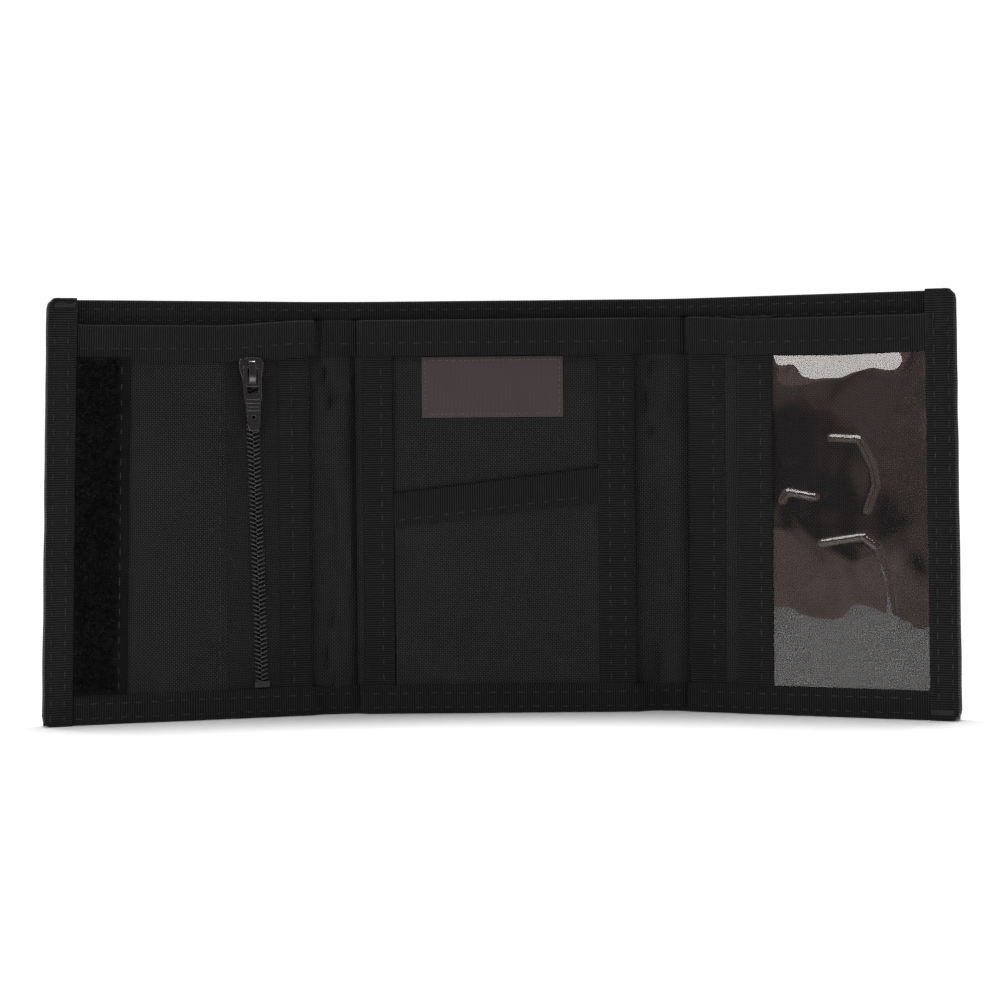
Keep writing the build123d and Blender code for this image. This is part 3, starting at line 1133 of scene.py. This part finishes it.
def sew(path, hosts, home=None, back=False, pitch=PITCH, seen=SEEN):
    """A row of stitches along a bent line of (x, z) places."""
    rng = np.random.default_rng(round(1000 + 7 * path[0][0] + 3 * path[0][1]))
    path = np.array(path, float)
    lengths = np.hypot(*np.diff(path, axis=0).T)
    reach = np.concatenate([[0], np.cumsum(lengths)])
    count = int((reach[-1] - 0.6) // pitch)
    for i in range(count):
        begin = 0.6 + i * pitch + rng.uniform(-0.3, 0.3)
        end = begin + seen * rng.uniform(0.8, 1.06)
        p = [np.interp(begin, reach, path[:, k]) + rng.uniform(-0.1, 0.1) for k in (0, 1)]
        q = [np.interp(end, reach, path[:, k]) + rng.uniform(-0.1, 0.1) for k in (0, 1)]
        where = home or stretch_at((p[0] + q[0]) / 2)
        if home is None and stretch_at(p[0]) != stretch_at(q[0]):
            continue
        there = [h if h in SURFACES else h + "_" + where for h in hosts]
        lay_stitch(where, there, p, q, back)


def bartack(home, hosts, centre, size):
    """A dense block of thread that takes the strain at a corner."""
    count = round(size[0] / 0.34)
    half, slope = size[1] / 2, 0.12
    for i in range(count):
        step = (i / max(1, count - 1) - 0.5) * size[0]
        p = (centre[0] + step - slope, centre[1] - half)
        q = (centre[0] + step + slope, centre[1] + half)
        lay_stitch(home, hosts, p, q, radius=0.2, lift=0.2)


print("one stitch has", len(STITCH_FACES), "faces")

# %% All the seams
def under_edge(edge, inward, down, start=LEFT_END + 9, end=RIGHT_END - 9):
    places = np.arange(start, end, 3.0)
    return list(zip(places, edge(places) + inward * down))


for down in ROWS["outer_top"]:
    sew(under_edge(always(HEIGHT), -1, down), ["outer_top_binding"])
    sew(under_edge(always(HEIGHT), -1, down), ["outer_top_binding"], back=True)
sew(under_edge(inner_edge, -1, ROWS["inner_top"][0]), ["inner_top_binding"])
for up in ROWS["bottom"]:
    sew(under_edge(always(0.0), 1, up), ["bottom_binding"])
    sew(under_edge(always(0.0), 1, up), ["bottom_binding"], back=True)


def upright(x, low, high):
    return [(x, low), (x, high)]


SEWN_FROM, SEWN_TO = 9.4, 108.0  # between the bindings at the bottom and at the top
for row in ROWS["left_side"]:
    for back in (False, True):
        line = upright(LEFT_END + row, 0.8, HEIGHT - 0.8)
        sew(line, ["left_side_tape"], "left_wing", back)
for row in ROWS["right_side"]:
    for back in (False, True):
        line = upright(RIGHT_END - row, 0.8, HEIGHT - 0.8)
        sew(line, ["right_side_tape"], "right_wing", back)
for node, home, inward, _, rows in MOUTHS:
    for row in rows:
        line = upright(mouth_edge(node, inward) + inward * row, SEWN_FROM, SEWN_TO)
        sew(line, [node + "_tape"], home)
for x in SEAM_ROWS:
    sew(upright(x, SEWN_FROM, SEWN_TO), ["seam_strip"], "centre")
slant_row = under_edge(slant_edge, -1, ROWS["slant"][0], slant_low[0] + 1, slant_high[0] - 0.5)
sew(slant_row, ["slant_tape"], "centre")
bartack("left_wing", ["left_side_tape"], (LEFT_END + 5.2, 123.2), (5.5, 1.6))
bartack("right_wing", ["right_side_tape"], (RIGHT_END - 5.5, 2.4), (6.5, 1.8))
print("stitches by home:", {home: len(stitches) for home, stitches in THREADS.items()})

# %% [markdown]
# ## Closure, label and zip tapes
#
# The left wing closes on the right one with a strip of hooks and a strip of loops. The loop half
# is a knitted ground covered in tiny arches of yarn, so it swallows light and looks the
# blackest of all. The zip's two tapes lean towards the fold as they go down.

# %% Grounds of the closure strips, and the zip's tapes
LOOPS = flat_box("loop_strip")
loop_ground = strip_piece(
    "loop_ground",
    (LOOPS[0][0], LOOPS[1][0]),
    (LOOPS[0][2], LOOPS[1][2]),
    3.5,
    0.45,
    (LOOPS[0][0] + 3.7, LOOPS[1][0] - 2.5),
)
settle(loop_ground, "left_wing", PILE, ["loop_strip"])
HOOK_BOX = flat_box("hook_strip")


def back_patch(name, span, tall, depth, thick):
    """A flat strip sewn to the back of the wallet."""
    piece, s, t = grid_piece(name, 40, 90)
    x = span[1] - s * (span[1] - span[0])
    z = tall[0] + t * (tall[1] - tall[0])
    edge = np.minimum(s, 1 - s) * (span[1] - span[0])
    d = depth + 0.15 * (1 - smooth(edge / 0.8)) + waves(x, z)
    put_points(piece, np.stack([x, -d, z], axis=1))
    put_map(piece, np.stack([z, x], axis=1))
    thicken(piece, thick)
    return piece


hook_ground = back_patch(
    "hook_ground",
    (HOOK_BOX[0][0], HOOK_BOX[1][0]),
    (HOOK_BOX[0][2], HOOK_BOX[1][2]),
    -1.25,
    0.4,
)
settle(hook_ground, "right_wing", HOOKS, ["hook_strip"])
LEAN = math.tan(math.radians(1.4))


def chain_at(z):
    """x of the middle of the zip's chain at a height."""
    return CHAIN_X - LEAN * (z - CHAIN[2])


def zip_tape(name, side, node):
    """One half of the zip's tape, from beside the chain to its sewn edge."""
    piece, s, t = grid_piece(name, 22, 72)
    z = 5.0 + t * 110.5
    left, right = sorted((side * 0.5, side * 12.9))
    u = left + s * (right - left)
    x = chain_at(z) + u
    d = 2.45 - 0.04 * ripple(x, z, 4, 8.8)
    put_points(piece, np.stack([x, -(d + waves(x, z)), z], axis=1))
    put_map(piece, np.stack([z, u], axis=1))
    thicken(piece, 0.33)
    settle(piece, "left_wing", ZIP_TAPE, [node])


zip_tape("fold_side_tape", 1, "zip_tape_fold_side")
zip_tape("end_side_tape", -1, "zip_tape_end_side")
print("the chain stands at x =", round(CHAIN_X, 2), "and leans", round(LEAN, 4))

# %% [markdown]
# ## Many copies of one form
#
# Coil teeth, loops, hooks and stitches repeat by the hundred. Each is modelled once with few
# faces, and one mesh then holds all of its copies.

# %% Copies in one mesh
def one_mesh(name, copies, faces):
    """One piece from many copies of the same form; copies is a list of point arrays."""
    size = len(copies[0])
    spots = np.concatenate(copies)
    shift = [tuple(k + i * size for k in f) for i in range(len(copies)) for f in faces]
    mesh = bpy.data.meshes.new(name)
    mesh.from_pydata(spots.tolist(), [], shift)
    piece = bpy.data.objects.new(name, mesh)
    bpy.context.scene.collection.objects.link(piece)
    return piece


def take_form(piece):
    """Points and faces of a small model, which is then thrown away."""
    form = points_of(piece), [tuple(f.vertices) for f in piece.data.polygons]
    bpy.data.objects.remove(piece)
    return form


def turned_over(faces):
    return [tuple(reversed(f)) for f in faces]


def face_outwards(piece):
    """Turns the faces of closed shells outwards."""
    only(piece)
    bpy.ops.object.mode_set(mode="EDIT")
    bpy.ops.mesh.select_all(action="SELECT")
    bpy.ops.mesh.normals_make_consistent(inside=False)
    bpy.ops.object.mode_set(mode="OBJECT")


# %% [markdown]
# ## The zip's chain
#
# A coil zip has no separate teeth: one nylon filament winds along each tape, and every turn
# shows as a small bead. The turns of the two coils lie between each other.

# %% The coil's turns
bpy.ops.object.select_all(action="DESELECT")
bpy.ops.mesh.primitive_uv_sphere_add(segments=8, ring_count=7, radius=1)
bead = bpy.context.object
bpy.ops.transform.rotate(value=math.pi / 2, orient_axis="Y", center_override=(0, 0, 0))
BEAD, BEAD_FACES = take_form(bead)
COIL_PITCH = 1.32
COIL_TOP, COIL_FOOT = 108.3, 11.2
COIL_HEIGHTS = np.arange(COIL_FOOT, COIL_TOP, COIL_PITCH)


def coil_side(side, node):
    turns = []
    for z in COIL_HEIGHTS:
        z = z + (0.5 * COIL_PITCH if side > 0 else 0)
        u = np.sign(BEAD[:, 0]) * np.abs(BEAD[:, 0]) ** 0.7
        across = side * (0.95 + 1.25 * u)
        fat = 1 + 0.25 * np.exp(-(((u + 0.75) / 0.3) ** 2))
        x = chain_at(z) + across
        d = 2.86 + 0.44 * BEAD[:, 2] + waves(np.array([chain_at(z)]), np.array([z]))[0]
        turns.append(np.stack([x, -d, z + 0.42 * u + 0.31 * fat * BEAD[:, 1]], axis=1))
    faces = BEAD_FACES if side < 0 else turned_over(BEAD_FACES)
    piece = one_mesh("coil_" + ("fold" if side > 0 else "end") + "_side", turns, faces)
    face_outwards(piece)
    settle(piece, "left_wing", COIL, [node])


coil_side(1, "zip_coil_fold_side")
coil_side(-1, "zip_coil_end_side")
for stop in ("zip_top_stops", "zip_bottom_stop"):
    frame["nodes"][stop].data.materials.clear()
    frame["nodes"][stop].data.materials.append(STOP_METAL)
print("coil turns on each side:", len(COIL_HEIGHTS))

# %% [markdown]
# ## Slider and pull
#
# The slider is a small casting: two plates joined by a wedge, with a bridge that holds the pull.
# Each part starts as a flat outline, is extruded to its height, and is bevelled, because the
# bright line on a black casting is the light caught by its rounded edge.

# %% A slab from an outline
def slab(name, outline, low, high, rounding, sideways=False):
    """An outline of (u, w), extruded from low to high, with rounded edges.
    Upright slabs stand in the wallet's face; sideways ones have (depth, w) outlines."""
    bpy.ops.object.select_all(action="DESELECT")
    bpy.ops.mesh.primitive_circle_add(vertices=len(outline), radius=1, fill_type="NGON")
    piece = bpy.context.object
    piece.name = name
    spots = [(u, -low, w) if not sideways else (low, -u, w) for u, w in outline]
    put_points(piece, np.array(spots, float))
    bpy.ops.object.mode_set(mode="EDIT")
    bpy.ops.mesh.select_all(action="SELECT")
    rise = (0, low - high, 0) if not sideways else (high - low, 0, 0)
    bpy.ops.mesh.extrude_region_move(TRANSFORM_OT_translate={"value": rise})
    bpy.ops.mesh.select_all(action="SELECT")
    bpy.ops.mesh.normals_make_consistent(inside=False)
    bpy.ops.object.mode_set(mode="OBJECT")
    if rounding:
        apply_modifier(
            piece, "BEVEL", width=rounding, segments=3, limit_method="ANGLE", angle_limit=0.6
        )
    return piece


def rounded(corners, radius, steps=4):
    """An outline with its corners rounded."""
    result = []
    for i, corner in enumerate(corners):
        here = np.array(corner, float)
        before = np.array(corners[i - 1], float)
        after = np.array(corners[(i + 1) % len(corners)], float)
        reach = min(radius, 0.45 * np.hypot(*(before - here)), 0.45 * np.hypot(*(after - here)))
        a = here + (before - here) / np.hypot(*(before - here)) * reach
        b = here + (after - here) / np.hypot(*(after - here)) * reach
        for t in np.linspace(0, 1, steps + 1):
            result.append(tuple((1 - t) ** 2 * a + 2 * t * (1 - t) * here + t * t * b))
    return result


def mirrored(half):
    """A closed outline from its right half, given from the top down."""
    return half + [(-u, w) for u, w in reversed(half)]


SLIDER = flat_box("zip_slider")
SLIDER_TOP = float(SLIDER[1][2])


def onto_chain(piece, top):
    """Moves a small part from the chain's own (u, w) to its place on the chain."""
    spots = points_of(piece)
    spots[:, 2] += top
    spots[:, 0] += chain_at(spots[:, 2])
    put_points(piece, spots)


def joined(pieces, name):
    bpy.ops.object.select_all(action="DESELECT")
    for piece in pieces:
        piece.select_set(True)
    bpy.context.view_layer.objects.active = pieces[0]
    bpy.ops.object.join()
    pieces[0].name = name
    return pieces[0]


# %% The slider
plate_line = rounded(
    mirrored([(1.3, 0.0), (3.1, -0.2), (3.8, -1.6), (3.5, -4.2), (2.9, -6.0), (2.7, -8.8)]),
    0.8,
)
top_plate = slab("slider_plate", plate_line, 3.5, 4.1, 0.16)
back_plate = slab("slider_back", plate_line, 1.5, 1.95, 0.12)
wedge = slab("slider_wedge", rounded(mirrored([(0.7, -0.3), (0.35, -3.2)]), 0.3), 1.8, 3.6, 0)
rails = []
for side in (-1, 1):
    rail = [(2.35, -5.2), (2.95, -5.2), (2.72, -8.7), (2.2, -8.7)]
    rails.append(
        slab("slider_rail", rounded([(side * u, w) for u, w in rail], 0.2), 2.75, 3.7, 0.08)
    )
arch = [(3.9, -0.9), (5.0, -1.0), (5.6, -1.7), (5.72, -2.7), (5.6, -5.2), (5.42, -6.8)]
arch += [(4.6, -7.7), (3.9, -7.9), (3.9, -6.9), (4.5, -6.5), (4.95, -5.0), (5.1, -3.4)]
arch += [(5.05, -1.95), (4.7, -1.65), (3.9, -1.6)]
crown = slab("slider_crown", rounded(arch, 0.3, 3), -0.95, 0.95, 0.18, sideways=True)
slider = joined([top_plate, back_plate, wedge, *rails, crown], "slider_casting")
onto_chain(slider, SLIDER_TOP)
settle(slider, "zip_slider", ENAMEL, ["zip_slider"])
print("slider faces:", len(slider.data.polygons))

# %% [markdown]
# The pull is a flat tapered tag. Its long slot hangs on the slider's bridge. The slot and the
# small hole near the tip are cut with Boolean, which keeps their walls crisp, and the bevel
# comes after the cut, so the rims catch light too.

# %% The pull
PULL = flat_box("zip_puller")
PULL_TOP = float(PULL[1][2])


def cut(piece, cutter):
    only(piece)
    made = piece.modifiers.new("Cut", "BOOLEAN")
    made.operation = "DIFFERENCE"
    made.solver = "EXACT"
    made.object = cutter
    bpy.ops.object.modifier_apply(modifier=made.name)
    bpy.data.objects.remove(cutter)


tag_line = rounded(
    mirrored([(2.2, 0.0), (2.8, -0.8), (2.75, -8.6), (2.25, -12.0), (1.8, -18.2), (1.3, -19.6)]),
    0.7,
)
tag = slab("pull_tag", tag_line, 4.3, 5.0, 0)
slot_line = rounded([(-1.75, -0.85), (1.75, -0.85), (1.8, -8.4), (-1.8, -8.4)], 0.7)
cut(tag, slab("slot_cutter", slot_line, 4.0, 5.4, 0))
eye_line = [
    (0.62 * math.cos(a), -15.6 + 0.62 * math.sin(a)) for a in np.linspace(0, 2 * math.pi, 17)[:-1]
]
cut(tag, slab("eye_cutter", eye_line, 4.0, 5.4, 0))
apply_modifier(tag, "BEVEL", width=0.2, segments=3, limit_method="ANGLE", angle_limit=0.5)
ridges = []
for w in (-9.9, -11.0, -12.1, -13.2):
    half = 1.75 + (w + 13.2) * 0.1
    bar = rounded([(-half, w), (half, w), (half, w - 0.5), (-half, w - 0.5)], 0.2)
    ridges.append(slab("pull_ridge", bar, 4.9, 5.14, 0.09))
pull = joined([tag, *ridges], "pull")
onto_chain(pull, PULL_TOP)
settle(pull, "zip_puller", ENAMEL, ["zip_puller"])
print("pull faces:", len(pull.data.polygons))

# %% [markdown]
# ## Loops, hooks and the label
#
# A loop is half of a thin ring with its feet in the ground. A hook is more than half of one, so
# it has an open mouth. Both are scattered by a seeded random generator, so they come out the
# same each time. The label is a folded satin ribbon with a plain woven border.

# %% Half a ring, many times
def ring_part(keep):
    """Part of a thin ring: keep is how low its points may lie, in shares of its radius."""
    bpy.ops.object.select_all(action="DESELECT")
    bpy.ops.mesh.primitive_torus_add(
        major_segments=8, minor_segments=3, major_radius=1, minor_radius=0.2
    )
    ring = bpy.context.object
    bpy.ops.transform.rotate(value=math.pi / 2, orient_axis="X", center_override=(0, 0, 0))
    bpy.ops.object.transform_apply(location=False, rotation=True, scale=True)
    bpy.ops.object.mode_set(mode="EDIT")
    bpy.ops.mesh.select_all(action="DESELECT")
    bpy.ops.object.mode_set(mode="OBJECT")
    for vertex in ring.data.vertices:
        vertex.select = vertex.co.z < keep
    bpy.ops.object.mode_set(mode="EDIT")
    bpy.ops.mesh.delete(type="VERT")
    bpy.ops.object.mode_set(mode="OBJECT")
    return take_form(ring)


def scatter(name, form, faces, spots, ground, side, sizes, seed):
    """Stands copies of a form on a strip; each spot is (x, z)."""
    rng = np.random.default_rng(seed)
    copies = []
    for x, z in spots:
        size = rng.uniform(*sizes)
        turn = rng.uniform(0, math.pi)
        lean = rng.normal(0, 0.35)
        u = form[:, 0] * size
        w = form[:, 1] * size + form[:, 2] * size * lean
        out = form[:, 2] * size * rng.uniform(0.8, 1.25)
        px = x + u * math.cos(turn) - w * math.sin(turn)
        pz = z + u * math.sin(turn) + w * math.cos(turn)
        copies.append(np.stack([px, -(ground + side * out), pz], axis=1))
    return one_mesh(name, copies, faces)


LOOP, LOOP_FACES = ring_part(-0.3)
rng = np.random.default_rng(11)
low, high = LOOPS
inner = (low[0] + 0.5, high[0] - 3.2)
loop_spots = np.stack(
    [rng.uniform(inner[0], inner[1], 3900), rng.uniform(low[2] + 0.6, high[2] - 0.6, 3900)], 1
)
ground_d = 3.55
pile = scatter(
    "loop_pile", LOOP, turned_over(LOOP_FACES), loop_spots, ground_d, 1, (0.34, 0.52), 12
)
shades = np.random.default_rng(14).uniform(0, 4, (len(loop_spots), 2))
put_map(pile, np.repeat(shades, len(LOOP), axis=0))
add_waves(pile)
settle(pile, "left_wing", PILE)
hook_rows = np.array(
    [
        (x + rng.uniform(-0.1, 0.1), z)
        for x in np.arange(HOOK_BOX[0][0] + 1.4, HOOK_BOX[1][0] - 1.2, 1.5)
        for z in np.arange(HOOK_BOX[0][2] + 1.5, HOOK_BOX[1][2] - 1.2, 1.5)
    ]
)
HOOK, HOOK_FACES = ring_part(-0.8)
hooks = scatter("hooks", HOOK, HOOK_FACES, hook_rows, -1.3, -1, (0.42, 0.5), 13)
add_waves(hooks)
settle(hooks, "right_wing", HOOKS)
print("loops:", len(loop_spots), "hooks:", len(hook_rows))

# %% The label
label_low, label_high = flat_box("blank_label")
ribbon, s, t = grid_piece("satin_label", 90, 40)
x = label_low[0] + s * (label_high[0] - label_low[0])
z = label_low[2] + t * (label_high[2] - label_low[2])
rim = np.minimum(
    np.minimum(x - label_low[0], label_high[0] - x), np.minimum(z - label_low[2], label_high[2] - z)
)
d = 2.4 - 0.12 * (1 - smooth(rim / 0.6)) - 0.05 * np.exp(-(((rim - 1.1) / 0.4) ** 2))
d = d + 0.06 * ripple(x, z, 7, 6.1) + waves(x, z)
put_points(ribbon, np.stack([x, -d, z], axis=1))
put_map(ribbon, np.stack([x, z], axis=1))
thicken(ribbon, 0.3)
settle(ribbon, "centre", LABEL, ["blank_label"])
inset = 1.1
left, right = label_low[0] + inset, label_high[0] - inset
foot, top = label_low[2] + inset, label_high[2] - inset
border = [(left, foot), (right, foot), (right, top), (left, top), (left, foot)]
sew(border, ["satin_label"], "centre label", pitch=1.3, seen=0.85)
sew(upright(LOOPS[1][0] - 2.5, LOOPS[0][2] + 0.8, LOOPS[1][2] - 0.8), ["loop_ground"], "left_wing")
for x in (HOOK_BOX[0][0] + 0.9, HOOK_BOX[1][0] - 0.9):
    line = upright(x, HOOK_BOX[0][2] + 0.8, HOOK_BOX[1][2] - 0.8)
    sew(line, ["hook_ground"], "right_wing", back=True)
leaning_row = [(-89.0, SEWN_FROM), (-88.2, SEWN_TO)]
sew(leaning_row, ["end_side_tape", "zip_pocket_front_cloth"], "left_wing")
print("label and closure sewn")

# %% Turn the thread into meshes
for home, stitches in THREADS.items():
    copies = [spots for spots, _, _ in stitches]
    thread = one_mesh("thread_" + home.replace(" ", "_"), copies, STITCH_FACES)
    pairs = np.concatenate([np.stack([a, v * 0.2], axis=1) for _, a, v in stitches])
    put_map(thread, pairs)
    face_outwards(thread)
    yarn = EDGE_YARN if home.endswith("label") else THREAD
    settle(thread, home.split()[0], yarn)
    print("thread on", home, "has", len(stitches), "stitches")

# %% [markdown]
# ## Light, floor and camera
#
# A black object is drawn by what it reflects. The room that glossy rays meet is dark, with brown
# patches on its left and bright walls far out at both sides, so the cloth stays deep and the film
# has shapes to mirror. All other rays meet a bright, even world, and the camera sees a white
# backdrop behind the pale floor. Three soft boxes add the highlights.

# %% World, floor and lights
DARK_WALL, BROWN_WALL = (0.11, 0.10, 0.105), (0.78, 0.56, 0.50)
BRIGHT_SIDE = (3.0, 3.0, 3.05)
world = bpy.data.worlds.new("studio")
world.use_nodes = True
bpy.context.scene.world = world
tree = world.node_tree
bright = tree.nodes["Background"]
bright.inputs["Color"].default_value = (1, 1, 1, 1)
bright.inputs["Strength"].default_value = 0.55
room = tree.nodes.new("ShaderNodeBackground")
room.inputs["Strength"].default_value = 1.0
look = tree.nodes.new("ShaderNodeTexCoord").outputs["Generated"]
corners = noise_node(tree, look, 9.0)
corners = math_node(tree, "MULTIPLY", math_node(tree, "SUBTRACT", corners, 0.35), 6.0)
corners.node.use_clamp = True
sideways, _ = split_xy(tree, look)
left_part = math_node(tree, "MULTIPLY", math_node(tree, "ADD", sideways, 0.1), -4.0)
left_part.node.use_clamp = True
corners = math_node(tree, "MULTIPLY", corners, left_part)
wall = shade_between(tree, corners, DARK_WALL, BROWN_WALL)
outward = math_node(tree, "SUBTRACT", math_node(tree, "ABSOLUTE", sideways), 0.91)
outward = math_node(tree, "MULTIPLY", outward, 12.0)
outward.node.use_clamp = True
wall = shade_between_colours(tree, outward, wall, BRIGHT_SIDE)
tree.links.new(wall, room.inputs["Color"])
ray = tree.nodes.new("ShaderNodeLightPath")
choose = tree.nodes.new("ShaderNodeMixShader")
tree.links.new(ray.outputs["Is Glossy Ray"], choose.inputs["Fac"])
tree.links.new(bright.outputs[0], choose.inputs[1])
tree.links.new(room.outputs[0], choose.inputs[2])
backdrop = tree.nodes.new("ShaderNodeBackground")
backdrop.inputs["Color"].default_value = (1, 1, 1, 1)
backdrop.inputs["Strength"].default_value = 1.1
seen_first = tree.nodes.new("ShaderNodeMixShader")
tree.links.new(ray.outputs["Is Camera Ray"], seen_first.inputs["Fac"])
tree.links.new(choose.outputs[0], seen_first.inputs[1])
tree.links.new(backdrop.outputs[0], seen_first.inputs[2])
tree.links.new(seen_first.outputs[0], tree.nodes["World Output"].inputs["Surface"])

bpy.ops.object.select_all(action="DESELECT")
bpy.ops.mesh.primitive_circle_add(vertices=96, radius=0.47, fill_type="NGON")
floor = bpy.context.object
floor.name = "studio_floor"
floor_look, _, floor_shader = plain_material("studio_floor", Roughness=0.7)
floor_shader.inputs["Base Color"].default_value = (0.92, 0.92, 0.92, 1)
floor.data.materials.append(floor_look)


def soft_box(name, place, aim, size, power):
    lamp = bpy.data.lights.new(name, "AREA")
    lamp.shape = "RECTANGLE"
    lamp.size, lamp.size_y = size
    lamp.energy = power
    holder = bpy.data.objects.new(name, lamp)
    bpy.context.scene.collection.objects.link(holder)
    turn = (Vector(aim) - Vector(place)).to_track_quat("-Z", "Y")
    holder.matrix_world = Matrix.Translation(place) @ turn.to_matrix().to_4x4()


soft_box("overhead", (0.0, 0.14, 0.85), (0, 0.04, 0.0), (0.9, 0.25), 7.8)
soft_box("front_left", (-0.60, -0.50, 0.80), (0, 0, 0.06), (0.3, 0.3), 1.8)
soft_box("window_light", (-0.66, -1.08, 0.32), (0.1, -0.03, 0.1), (0.45, 0.22), 1.6)

# %% The camera
lens = bpy.data.cameras.new("camera")
lens.lens = 85.5
lens.sensor_width = 36
lens.clip_start = 0.01
camera = bpy.data.objects.new("camera", lens)
bpy.context.scene.collection.objects.link(camera)
CAMERA_PLACE = (-0.003, -0.721, 0.0827)
LOOKS_DOWN, LEANS = 1.447, -0.55  # in degrees
tilt = Matrix.Rotation(math.radians(90 - LOOKS_DOWN), 4, "X")
roll = Matrix.Rotation(math.radians(LEANS), 4, "Z")
camera.matrix_world = Matrix.Translation(CAMERA_PLACE) @ tilt @ roll
bpy.context.scene.camera = camera
bpy.context.scene.view_settings.view_transform = "Standard"
print("camera at", CAMERA_PLACE, "with a lens of", round(lens.lens, 1), "mm")
